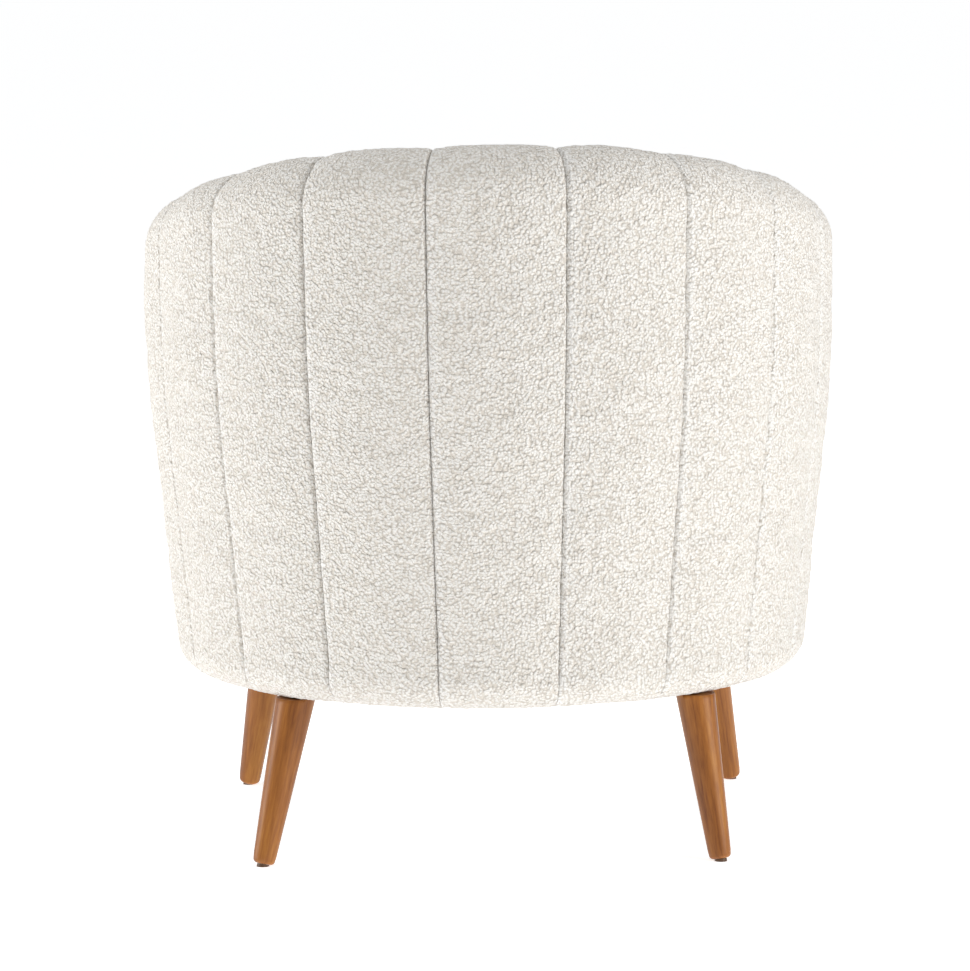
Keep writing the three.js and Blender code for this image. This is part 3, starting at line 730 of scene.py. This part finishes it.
def leg_wood_material():
    """Satin golden-brown wood with long soft grain, fine pores and a thin coat."""
    n = Nodes("leg_wood")
    grain = n.add("ShaderNodeAttribute", attribute_name="grain").outputs["Vector"]
    bent = n.warp(grain, 0.012, 18, 3)
    figure = n.mix(n.noise(bent, 55, 3), 0.55, n.noise(bent, 330, 4, 0.65), 0.45)
    stops = [(0.32, (0.17, 0.049, 0.008)), (0.5, (0.325, 0.114, 0.019)), (0.70, (0.50, 0.21, 0.038))]
    pores = n.mix(n.noise(grain, 1100, 2, 0.6), 0.5, figure)
    rough = n.add("ShaderNodeMapRange")
    n.set(rough, To_Min=0.36, To_Max=0.5)
    n.link(figure, rough.inputs["Value"])
    n.link(rough.outputs["Result"], n.shader.inputs["Roughness"])
    return n.finish(n.ramp(figure, stops), (pores, 0.12, 0.3 * MM), Specular_IOR_Level=0.28,
                    Coat_Weight=0.15, Coat_Roughness=0.25)


def grained_material(name, dark, light, scale, relief, roughness, metallic=0.0):
    """A matt or metal surface with fine mottling: frame timber, steel, cloth, nylon or foam."""
    n = Nodes(name)
    fine = n.noise(n.place, scale, 3, 0.6)
    mixed = n.mix(fine, 0.6, n.noise(n.place, scale / 14, 2), 0.4)
    colour = n.ramp(mixed, [(0.3, dark), (0.7, light)])
    return n.finish(colour, (fine, 0.5, relief), Roughness=roughness, Metallic=metallic)


def woven_material(name, dark, light, pitch):
    """Plain woven cloth: crossing threads that far apart, with slubs and a little shade variation."""
    n = Nodes(name)
    threads = []
    for direction in ("X", "Y", "Z"):
        wave = n.add("ShaderNodeTexWave", wave_type="BANDS", bands_direction=direction)
        n.set(wave, Scale=0.314 / pitch, Distortion=0.6, Detail=1)
        n.link(n.place, wave.inputs["Vector"])
        threads.append(wave.outputs["Fac"])
    weave = n.math("MAXIMUM", n.math("MAXIMUM", threads[0], threads[1]), threads[2])
    shade = n.mix(weave, 0.6, n.noise(n.place, 60, 3, 0.6), 0.4)
    return n.finish(n.ramp(shade, [(0.25, dark), (0.8, light)]), (weave, 0.6, pitch / 4), Roughness=0.9)


def timber_material():
    """Plain unfinished softwood and plywood for the hidden frame."""
    n = Nodes("frame_timber")
    stretched = n.add("ShaderNodeMapping")
    stretched.inputs["Scale"].default_value = (1, 1, 0.12)
    n.link(n.place, stretched.inputs["Vector"])
    rings = n.add("ShaderNodeTexWave", wave_type="RINGS", rings_direction="Z")
    n.set(rings, Scale=18, Distortion=6, Detail=3)
    n.link(stretched.outputs["Vector"], rings.inputs["Vector"])
    streaks = n.noise(stretched.outputs["Vector"], 140, 5, 0.65)
    figure = n.mix(streaks, 0.6, rings.outputs["Fac"], 0.4)
    stops = [(0.2, (0.40, 0.26, 0.13)), (0.5, (0.58, 0.41, 0.22)), (0.8, (0.68, 0.51, 0.30))]
    return n.finish(n.ramp(figure, stops), (figure, 0.3, 0.4 * MM), Roughness=0.72)


# ---- channels ----


def make_wall(boucle):
    """The channels round the back and arms, the border below the seat and the arms' rounded ends."""
    channels, border = [channel_skin(i) for i in range(CHANNELS)], border_skin()
    simulate_skins(channels + [border])
    for skin in channels:
        padded_piece(skin, boucle, SEAM_SINK, TUCK_DEPTH, held_below)
    padded_piece(border, boucle, BORDER_SINK, 0)
    for side in (-1, 1):
        padded_piece(arm_front_skin(side), boucle, 0, NOSE_TUCK)


# ---- seat cushion ----

SEAT_INSET = 121 * MM
CUSHION_STEP = 6.5 * MM
CUSHION_START_INSET = 5 * MM
CUSHION_FRAMES = 20
CUSHION_CLOTH = {
    "quality": 5, "mass": 0.35, "tension_stiffness": 10, "compression_stiffness": 10,
    "shear_stiffness": 4, "bending_stiffness": 0.8, "uniform_pressure_force": 7,
}
CUSHION_CAP = 26 * MM
SIDE_CAP = 7 * MM
SEAM_HOLD = 3.6 * MM
WELT_GROOVE = 4.5 * MM
WELT_GROOVE_WIDTH = 9 * MM
CUSHION_CORNER = 24 * MM
PIPING_RADIUS = 4.8 * MM
PIPING_LIFT = 0.8 * MM
REST_GAP = 0.2 * MM       # the cover stays this far above the deck
ZIP_ROWS = np.linspace(-6, 6, 7) * MM


def seat_outline(inset, front_y, corner, count):
    """count points, evenly spaced, round a D-shaped plan: round at the back, straight in front."""
    half = HALF_WIDTH - inset
    turn = np.linspace(0, np.pi / 2, 9)
    arc = np.linspace(0, np.pi, 121)
    left = np.stack([-half + corner * (1 - np.cos(turn)), front_y + corner * (1 - np.sin(turn))], -1)
    right = left[::-1] * (-1, 1)
    back = np.stack([half * np.cos(arc), CURVE_CENTRE_Y + (BACK_DEPTH - inset) * np.sin(arc)], -1)
    path = np.concatenate([left, right, back, left[:1]])
    run = np.concatenate([[0], np.cumsum(np.linalg.norm(np.diff(path, axis=0), axis=1))])
    at = np.linspace(0, run[-1], count, endpoint=False)
    return np.stack([np.interp(at, run, path[:, 0]), np.interp(at, run, path[:, 1])], -1)


def seat_form(name, inset, front_y, bottom, top, corner, edge, material=None, count=150):
    """A closed D-shaped form with rounded edges, made of rings that shrink to the middle."""
    outline = seat_outline(inset, front_y, corner, count)
    centre = outline.mean(axis=0)
    turn = np.linspace(0, np.pi / 2, 4)
    shrink = [0.02, 0.25, 0.5, 0.75, 0.93]
    rings = [(part, 0.0, bottom) for part in shrink]
    rings += [(1.0, edge * (1 - math.sin(a)), bottom + edge * (1 - math.cos(a))) for a in turn]
    rings += [(1.0, edge * (1 - math.sin(a)), top - edge * (1 - math.cos(a))) for a in turn[::-1]]
    rings += [(part, 0.0, top) for part in shrink[::-1]]
    points = []
    for part, inward, z in rings:
        ring = centre + (outline - centre) * part - unit(outline - centre) * inward
        points.append(np.column_stack([ring, np.full(count, z)]))
    return mesh_object(name, np.concatenate(points), capped_quads(len(rings), count), material)


def distances_to(places, points):
    """How far each point is from the nearest of some places."""
    tree = KDTree(len(places))
    for k, place in enumerate(places):
        tree.insert(place, k)
    tree.balance()
    return np.array([tree.find(point)[2] for point in points])


def limited(move, cap):
    """The moves, none of them longer than the cap."""
    length = np.linalg.norm(move, axis=1, keepdims=True)
    return move * np.minimum(1, cap / np.maximum(length, 1e-9))


def inflate(piece, bottom, seam_heights, outline):
    """Blows a cushion's cover up between its two welts, and keeps it flat below where it rests."""
    before = vertices_of(piece.data)
    near_seam = np.min([np.abs(before[:, 2] - z) for z in seam_heights], axis=0) < SEAM_HOLD
    flat_outline = np.column_stack([outline, np.zeros(len(outline))])
    at_edge = distances_to(flat_outline, before * (1, 1, 0)) < 2 * SEAM_HOLD
    after = blow_up(piece, np.flatnonzero(near_seam & at_edge), CUSHION_FRAMES, CUSHION_CLOTH)
    move = limited(after - before, CUSHION_CAP)
    move[:, :2] = limited(move[:, :2], SIDE_CAP)
    settled = before + move
    settled[:, 2] = np.maximum(settled[:, 2], bottom)
    move_vertices(piece.data, settled)


def nap(points, normals, height):
    """Bouclé loops that stand off a surface."""
    grain = 0.55 - nubs(points, NUB_CELL) + 0.35 * soft_noise(points, 4 * MM, 41)
    lumps = 0.8 * soft_noise(points, 55 * MM, 31)
    return points + normals * (height * grain + MM * lumps)[:, None]


def tube(name, path, radius, material, closed=False, sides=10):
    """A round cord along a list of points."""
    path = np.asarray(path, dtype=float)
    if closed:
        along = np.roll(path, -1, axis=0) - np.roll(path, 1, axis=0)
    else:
        along = np.gradient(path, axis=0)
    along = unit(along)
    side = unit(np.cross(along, np.where(np.abs(along[:, 2:3]) > 0.9, (1.0, 0, 0), (0, 0, 1.0))))
    top = np.cross(side, along)
    angle = np.linspace(0, 2 * np.pi, sides, endpoint=False)
    ring = np.cos(angle)[None, :, None] * side[:, None] + np.sin(angle)[None, :, None] * top[:, None]
    points = (path[:, None] + radius * ring).reshape(-1, 3)
    if closed:
        faces = grid_quads(len(path) + 1, sides, closed=True)[:, ::-1] % len(points)
    else:
        faces = [face[::-1] for face in capped_quads(len(path), sides)]
    return mesh_object(name, points, faces, material)


def on_surface(surface, points, outside):
    """The nearest places on a surface, moved off it by a distance."""
    placed = []
    for point in points:
        place, normal, _, _ = surface.find_nearest(Vector(point))
        placed.append(place + normal * outside)
    return np.array(placed)


def make_cushion(boucle, foam, tape, metal):
    """The loose seat cushion: an inflated cover, two welts, a zip behind and the foam inside."""
    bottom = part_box("cushion_bottom_panel")[0].z
    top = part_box("cushion_top_panel")[1].z
    front_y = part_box("cushion_band")[0].y
    inset = SEAT_INSET + CUSHION_START_INSET
    start_top = top - 4 * MM
    seam_heights = (bottom + 5 * MM, start_top - 6 * MM)
    outline = seat_outline(inset, front_y + CUSHION_START_INSET, CUSHION_CORNER, 300)
    cover = seat_form("seat_cushion_cover", inset, front_y + CUSHION_START_INSET, bottom + 0.5 * MM,
                      start_top, CUSHION_CORNER, 6 * MM, boucle)
    remesh = cover.modifiers.new("remesh", "REMESH")
    remesh.mode = "VOXEL"
    remesh.voxel_size = CUSHION_STEP
    apply_modifiers(cover)
    inflate(cover, bottom + 0.4 * MM, seam_heights, outline)
    relax = cover.modifiers.new("relax", "SMOOTH")
    relax.iterations = 3
    finer = cover.modifiers.new("finer", "SUBSURF")
    finer.levels = finer.render_levels = 1
    apply_modifiers(cover)
    surface = BVHTree.FromObject(cover, bpy.context.evaluated_depsgraph_get())
    points, normals = vertices_of(cover.data), normals_of(cover.data)
    loops = []
    for at, name in zip(seam_heights, ("bottom", "top")):
        path = np.column_stack([outline, np.full(len(outline), at)])
        loops.append((name, on_surface(surface, path, PIPING_LIFT)))
    zip_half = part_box("cushion_zip")[1].x
    zip_z = (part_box("cushion_zip")[0].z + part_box("cushion_zip")[1].z) / 2
    rear = np.linspace(-zip_half, zip_half, 61)
    reach = 1 - (rear / (HALF_WIDTH - inset)) ** 2
    rear_y = CURVE_CENTRE_Y + (BACK_DEPTH - inset) * np.sqrt(reach)
    rows = []
    for offset in ZIP_ROWS:
        path = np.column_stack([rear, rear_y, np.full(len(rear), zip_z + offset)])
        rows.append(on_surface(surface, path, 0.0))
    rows = np.array(rows)
    flat_band = (points[:, 1] > 0) & (np.abs(normals[:, 2]) < 0.8)
    flat_band &= (np.abs(points[:, 2] - zip_z) < 9 * MM) & (np.abs(points[:, 0]) < zip_half + 4 * MM)
    near = distances_to(np.concatenate([path for _, path in loops]), points)
    groove = WELT_GROOVE * np.exp(-(near / WELT_GROOVE_WIDTH) ** 2)
    shaped = nap(points - normals * groove[:, None], normals, NUB_HEIGHT)
    shaped[flat_band] = (points - normals * 1.5 * MM)[flat_band]
    shaped[:, 2] = np.maximum(shaped[:, 2], bottom + REST_GAP)
    move_vertices(cover.data, shaped)
    panels = ("cushion_top_panel", "cushion_band", "cushion_bottom_panel")
    attach(cover, "seat_cushion", "boucle", *panels, fill=0.8)
    for name, path in loops:
        path[:, 2] = np.maximum(path[:, 2], bottom + PIPING_RADIUS + 0.8 * MM)
        cord = tube(f"cushion_piping_{name}", path, PIPING_RADIUS, boucle, closed=True, sides=14)
        ripple = nap(vertices_of(cord.data), normals_of(cord.data), 0.9 * MM)
        ripple[:, 2] = np.maximum(ripple[:, 2], bottom + REST_GAP)
        move_vertices(cord.data, ripple)
        attach(cord, "seat_cushion", "boucle")
    make_zip(rows, tape, metal)
    core = seat_form("cushion_foam_core", SEAT_INSET + 20 * MM, front_y + 20 * MM, bottom + 8 * MM,
                     top - 16 * MM, CUSHION_CORNER, 12 * MM, foam)
    attach(core, "seat_cushion", "foam", "cushion_foam", fill=0.9)


TOOTH_PITCH = 2.4 * MM
TOOTH_HALF = np.array([0.85, 0.75, 1.9]) * MM
TOOTH_LIFT, TOOTH_STAGGER = 0.9 * MM, 0.5 * MM
TOOTH_FACES = [(0, 1, 3, 2), (4, 6, 7, 5), (0, 4, 5, 1), (2, 3, 7, 6), (0, 2, 6, 4), (1, 5, 7, 3)]
SLIDER_OUTLINE = [(-4.5, -3.2), (-2.5, -4), (3.5, -3), (4.5, 0),
                  (3.5, 3), (-2.5, 4), (-4.5, 3.2), (-5, 0)]
SLIDER_LEVELS = [(0.85, 0.4), (1.0, 1.0), (1.0, 2.2), (0.8, 2.9)]   # size and height of its layers
UP = np.array([0, 0, 1.0])


def make_zip(rows, tape, metal):
    """A closed zip on the rear of the cushion: woven tape, two lines of teeth and a slider."""
    outward = unit((rows.mean(axis=0) - (0, CURVE_CENTRE_Y, 0)) * (1, 1, 0))
    front, back = rows + outward * 0.3 * MM, rows - outward * 0.6 * MM
    count, columns = rows.shape[:2]
    far = count * columns
    rim = boundary_loop(count, columns)
    after = np.roll(rim, -1)
    quads = [grid_quads(count, columns)[:, ::-1], grid_quads(count, columns, far)]
    quads.append(np.stack([rim, after, after + far, rim + far], axis=-1))
    points = np.concatenate([front.reshape(-1, 3), back.reshape(-1, 3)])
    strip = mesh_object("zip_tape", points, np.concatenate(quads), tape)
    attach(strip, "seat_cushion", "zip", "cushion_zip")
    middle = rows[count // 2]
    run = np.concatenate([[0], np.cumsum(np.linalg.norm(np.diff(middle, axis=0), axis=1))])
    points, faces = [], []
    for k, at in enumerate(np.arange(TOOTH_PITCH, run[-1] - TOOTH_PITCH, TOOTH_PITCH)):
        centre = np.array([np.interp(at, run, middle[:, i]) for i in range(3)])
        out = np.array([np.interp(at, run, outward[:, i]) for i in range(3)])
        side = np.cross(out, UP)
        centre = centre + out * TOOTH_LIFT + UP * (TOOTH_STAGGER if k % 2 else -TOOTH_STAGGER)
        faces += [[len(points) + i for i in quad] for quad in TOOTH_FACES]
        for a in (-1, 1):
            for b in (-1, 1):
                slim = 0.7 if b > 0 else 1.0
                for c in (-1, 1):
                    x, y, z = TOOTH_HALF * (a * slim, b, c * slim)
                    points.append(centre + side * x + out * y + UP * z)
    teeth = mesh_object("zip_teeth", points, faces, metal, smooth_faces=False)
    attach(teeth, "seat_cushion", "zip")
    place, out = middle[-4], outward[-4]
    side = np.cross(UP, out)
    body = [place + (side * a * size + UP * b * size + out * lift) * MM
            for size, lift in SLIDER_LEVELS for a, b in SLIDER_OUTLINE]
    slider = mesh_object("zip_slider", body, capped_quads(len(SLIDER_LEVELS), len(SLIDER_OUTLINE)), metal)
    attach(slider, "seat_cushion", "zip")
    hang = [place + (out * 3.4 + side * (2 - 2.2 * t) - UP * (13 * t + 0.5 * t**2)) * MM
            for t in np.linspace(0, 1, 8)]
    attach(tube("zip_pull", hang, 1.1 * MM, metal, sides=8), "seat_cushion", "zip")


# ---- deck and underside ----


def make_deck(cloth):
    """The padded deck over the springs, hidden below the cushion, with a shallow crown."""
    low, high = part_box("seat_deck")
    inset = SEAT_INSET + 0.5 * MM
    deck = seat_form("deck_pad", inset, low.y + 0.5 * MM, low.z, high.z - 1.5 * MM, 8 * MM, 7 * MM, cloth)
    finer = deck.modifiers.new("finer", "SUBSURF")
    finer.levels = finer.render_levels = 2
    apply_modifiers(deck)
    points = vertices_of(deck.data)
    upper = smooth((points[:, 2] - (high.z - 8 * MM)) / (6 * MM))
    points[:, 2] += upper * (0.6 * MM + 0.6 * MM * soft_noise(points, 70 * MM, 61))
    move_vertices(deck.data, points)
    attach(deck, "chair_body", "foam", "seat_deck", fill=0.9)


def leg_line(name):
    """The centre of a leg's foot on the floor and the direction of its axis."""
    mount = next(m for m in frame["record"]["mounts"] if m["name"] == f"foot_{name}")
    foot = Vector(mount["pos_m"])
    top = Vector((*LEG_TOPS[name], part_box(f"leg_{name}")[1].z))
    return foot, (top - foot).normalized()


COVER_MARGIN = 2 * MM
COVER_LIFT = 1.3 * MM
COVER_SAG = 0.45 * MM
COVER_THICKNESS = 0.5 * MM
COVER_CORNER = 9 * MM
LEG_HOLE = 9 * MM
STAPLE_INSET = 7 * MM
STAPLE_PITCH = 34 * MM
STAPLE_TURN = math.radians(24)
STAPLE_PATH = [(-5, 0.9), (-5, -0.25), (-4.6, -0.55), (0, -0.6), (4.6, -0.55), (5, -0.25), (5, 0.9)]
STAPLE_WIRE = [(-0.5, -0.28), (0.5, -0.28), (0.5, 0.28), (-0.5, 0.28)]
GOLDEN = 0.618034


def cover_height(x, y):
    """The dust cover's middle layer: flat at its edge and a little lower in the middle."""
    low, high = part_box("dust_cover")
    sag = (1 - (x / high.x) ** 2) * np.clip(1 - (y / high.y) ** 2, 0, 1)
    return low.z + COVER_LIFT - COVER_SAG * sag


def make_dust_cover(cloth):
    """Black cloth stretched across the underside, with a hole round each leg's bolt."""
    low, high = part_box("dust_cover")
    inset = HALF_WIDTH - high.x + COVER_MARGIN
    outline = seat_outline(inset, low.y + COVER_MARGIN, COVER_CORNER, 240)
    centre = outline.mean(axis=0)
    plan = centre + (outline - centre) * (np.linspace(0.012, 1, 60) ** 0.85)[:, None, None]
    points = np.concatenate([plan, cover_height(plan[..., 0], plan[..., 1])[..., None]], axis=-1)
    rows, columns = points.shape[:2]
    faces = grid_quads(rows, columns, closed=True)
    centres = points.reshape(-1, 3)[faces].mean(axis=1)
    keep = np.ones(len(faces), dtype=bool)
    for name in LEG_TOPS:
        foot, axis = leg_line(name)
        crossing = foot + axis * ((low.z + COVER_LIFT) / axis.z)
        keep &= np.hypot(centres[:, 0] - crossing.x, centres[:, 1] - crossing.y) > LEG_HOLE
    faces = faces[keep][:, ::-1].tolist() + [list(range(columns))]
    sheet = mesh_object("dust_cover_sheet", points.reshape(-1, 3), faces, cloth)
    thick = sheet.modifiers.new("thickness", "SOLIDIFY")
    thick.thickness = COVER_THICKNESS
    thick.offset = 0
    apply_modifiers(sheet)
    attach(sheet, "chair_body", "black_cloth", "dust_cover")
    size = outline.max(axis=0) - outline.min(axis=0)
    return inset + STAPLE_INSET, int(2 * (size[0] + size[1]) * 0.86 / STAPLE_PITCH)


def make_staples(inset, count, steel):
    """Wire staples round the dust cover's edge, each turned a little its own way."""
    front_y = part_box("dust_cover")[0].y + COVER_MARGIN + STAPLE_INSET
    places = seat_outline(inset, front_y, 6 * MM, count)
    ahead = unit(np.roll(places, -1, axis=0) - np.roll(places, 1, axis=0))
    points, faces = [], []
    for k, ((x, y), (dx, dy)) in enumerate(zip(places, ahead)):
        turn = STAPLE_TURN * (GOLDEN * k % 1 - 0.5)
        tx = dx * math.cos(turn) - dy * math.sin(turn)
        ty = dx * math.sin(turn) + dy * math.cos(turn)
        base = float(cover_height(x, y)) - COVER_THICKNESS / 2
        faces += capped_quads(len(STAPLE_PATH), len(STAPLE_WIRE), len(points))
        for along, down in STAPLE_PATH:
            for a, b in STAPLE_WIRE:
                points.append((x + (tx * along - ty * a) * MM, y + (ty * along + tx * a) * MM,
                               base + (down + b + 0.35) * MM))
    staples = mesh_object("dust_cover_staples", points, faces, steel, smooth_faces=False)
    attach(staples, "chair_body", "steel")


# ---- legs ----

LEG_SIDES = 64
LEG_TOP_RADIUS = 22 * MM
FOOT_RADIUS = 12.3 * MM
FOOT_EDGE = 5 * MM
FOOT_LIFT = 2.6 * MM
GRAIN_STEP = 0.37        # sets each leg's grain apart from the others'


def lathed(profile, sides):
    """Rings of points round Z from a profile of radius and height."""
    angle = np.linspace(0, 2 * np.pi, sides, endpoint=False)
    radius, height = np.array(profile).T[..., None]
    return np.stack([radius * np.cos(angle), radius * np.sin(angle), height * np.ones(sides)], axis=-1)


def make_leg(name, index, wood):
    foot, axis = leg_line(name)
    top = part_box(f"leg_{name}")[1].z
    length = (top + 4 * MM) / axis.z
    rounding = [
        (FOOT_RADIUS - FOOT_EDGE * (1 - math.sin(a)), FOOT_LIFT + FOOT_EDGE * (1 - math.cos(a)))
        for a in np.linspace(0, math.pi / 2, 9)
    ]
    heights = np.linspace(FOOT_LIFT + FOOT_EDGE, length, 40)[1:]
    taper = (LEG_TOP_RADIUS - FOOT_RADIUS) / length
    shaft = [(FOOT_RADIUS + taper * h, h) for h in heights]
    profile = [(0.4 * MM, FOOT_LIFT), (0.5 * FOOT_RADIUS, FOOT_LIFT)] + rounding + shaft
    local = lathed(profile, LEG_SIDES)
    turn = np.array(axis.to_track_quat("Z", "Y").to_matrix())
    points = local @ turn.T + np.array(foot)
    points[..., 2] = np.minimum(points[..., 2], top)
    piece = mesh_object(f"turned_leg_{name}", points, capped_quads(len(profile), LEG_SIDES), wood)
    grain = local.reshape(-1, 3) * (1, 1, 0.07) + GRAIN_STEP * (1 + index)
    point_attribute(piece.data, "grain", "FLOAT_VECTOR", "vector", grain)
    attach(piece, "chair_body", "leg_wood", f"leg_{name}")


# ---- stage ----

FLOOR_GLOW = 0.76
FLOOR_HALF = 30.0
SKY_FILL = 0.26


def area_light(name, place, target, size, power, colour):
    data = bpy.data.lights.new(name, "AREA")
    data.shape = "RECTANGLE"
    data.size, data.size_y = size
    data.energy = power
    data.color = colour
    light = bpy.data.objects.new(name, data)
    bpy.context.collection.objects.link(light)
    light.location = place
    light.rotation_euler = (Vector(target) - Vector(place)).to_track_quat("-Z", "Y").to_euler()


def make_stage():
    """A pale floor, a white surround and three soft lamps."""
    n = Nodes("pale_floor")
    mottle = n.ramp(n.noise(n.place, 30, 3), [(0.3, (0.90, 0.90, 0.90)), (0.7, (0.93, 0.93, 0.93))])
    n.link(mottle, n.shader.inputs["Base Color"])
    n.shader.inputs["Emission Color"].default_value = (1, 1, 1, 1)
    n.set(n.shader, Roughness=0.9, Emission_Strength=FLOOR_GLOW)
    corners = [(x * FLOOR_HALF, y * FLOOR_HALF, 0) for x, y in ((-1, -1), (1, -1), (1, 1), (-1, 1))]
    floor = mesh_object("floor", corners, [[0, 1, 2, 3]], n.material)
    world = bpy.data.worlds.new("studio")
    world.use_nodes = True
    nodes, link = world.node_tree.nodes, world.node_tree.links.new
    shown, fill = nodes["Background"], nodes.new("ShaderNodeBackground")
    for node, colour, strength in ((shown, (1, 1, 1, 1), 1.0), (fill, (0.97, 0.985, 1, 1), SKY_FILL)):
        node.inputs["Color"].default_value = colour
        node.inputs["Strength"].default_value = strength
    mix = nodes.new("ShaderNodeMixShader")
    link(nodes.new("ShaderNodeLightPath").outputs["Is Camera Ray"], mix.inputs["Fac"])
    link(fill.outputs["Background"], mix.inputs[1])
    link(shown.outputs["Background"], mix.inputs[2])
    link(mix.outputs["Shader"], nodes["World Output"].inputs["Surface"])
    bpy.context.scene.world = world
    area_light("right_softbox", (-3.46, 2.0, 1.2), (0, 0, 0.45), (2.4, 2.2), 74, (1, 0.992, 0.98))
    area_light("left_softbox", (4.0, -0.1, 1.2), (0, 0, 0.45), (2.2, 2.2), 82, (1, 0.992, 0.98))
    area_light("overhead", (0, -0.2, 3.0), (0, 0, 0), (3.0, 3.0), 36, (0.98, 0.99, 1))
    bpy.context.scene.view_settings.view_transform = "Standard"


# ---- carried-over parts ----


def finish_frame(finishes):
    """Gives each CAD node that still shows its own finish, by the start of its name."""
    for node, piece in frame["nodes"].items():
        for start, material in finishes.items():
            if node.startswith(start):
                for slot in piece.material_slots:
                    slot.link = "OBJECT"
                    slot.material = material


# ---- assembly ----

make_camera()
boucle = boucle_material()
wood = leg_wood_material()
frame_wood = timber_material()
steel = grained_material("steel", (0.42, 0.43, 0.45), (0.58, 0.59, 0.61), 700, 0.03 * MM, 0.38, 1.0)
brass = grained_material("zip_metal", (0.36, 0.34, 0.31), (0.5, 0.48, 0.44), 900, 0.02 * MM, 0.34, 1.0)
foam = grained_material("foam", (0.70, 0.60, 0.36), (0.82, 0.73, 0.48), 900, 0.3 * MM, 0.95)
nylon = grained_material("nylon", (0.085, 0.042, 0.018), (0.12, 0.062, 0.028), 500, 0.02 * MM, 0.5)
tape = woven_material("zip_tape", (0.62, 0.58, 0.50), (0.75, 0.71, 0.63), 0.6 * MM)
deck_cloth = woven_material("deck_cloth", (0.55, 0.51, 0.44), (0.70, 0.66, 0.58), 0.9 * MM)
black_cloth = woven_material("black_cloth", (0.010, 0.010, 0.011), (0.028, 0.028, 0.030), 1.1 * MM)
make_wall(boucle)
make_cushion(boucle, foam, tape, brass)
make_deck(deck_cloth)
make_staples(*make_dust_cover(black_cloth), steel)
for index, leg_name in enumerate(LEG_TOPS):
    make_leg(leg_name, index, wood)
timber_nodes = ("seat_rail", "corner_block", "arm_post", "back_rib", "top_rail", "outer_board")
finishes = dict.fromkeys(timber_nodes, frame_wood)
finishes |= {"seat_spring": steel, "leg_plate": steel, "leg_bolt": steel, "leg_glide": nylon}
finish_frame(finishes)
make_stage()
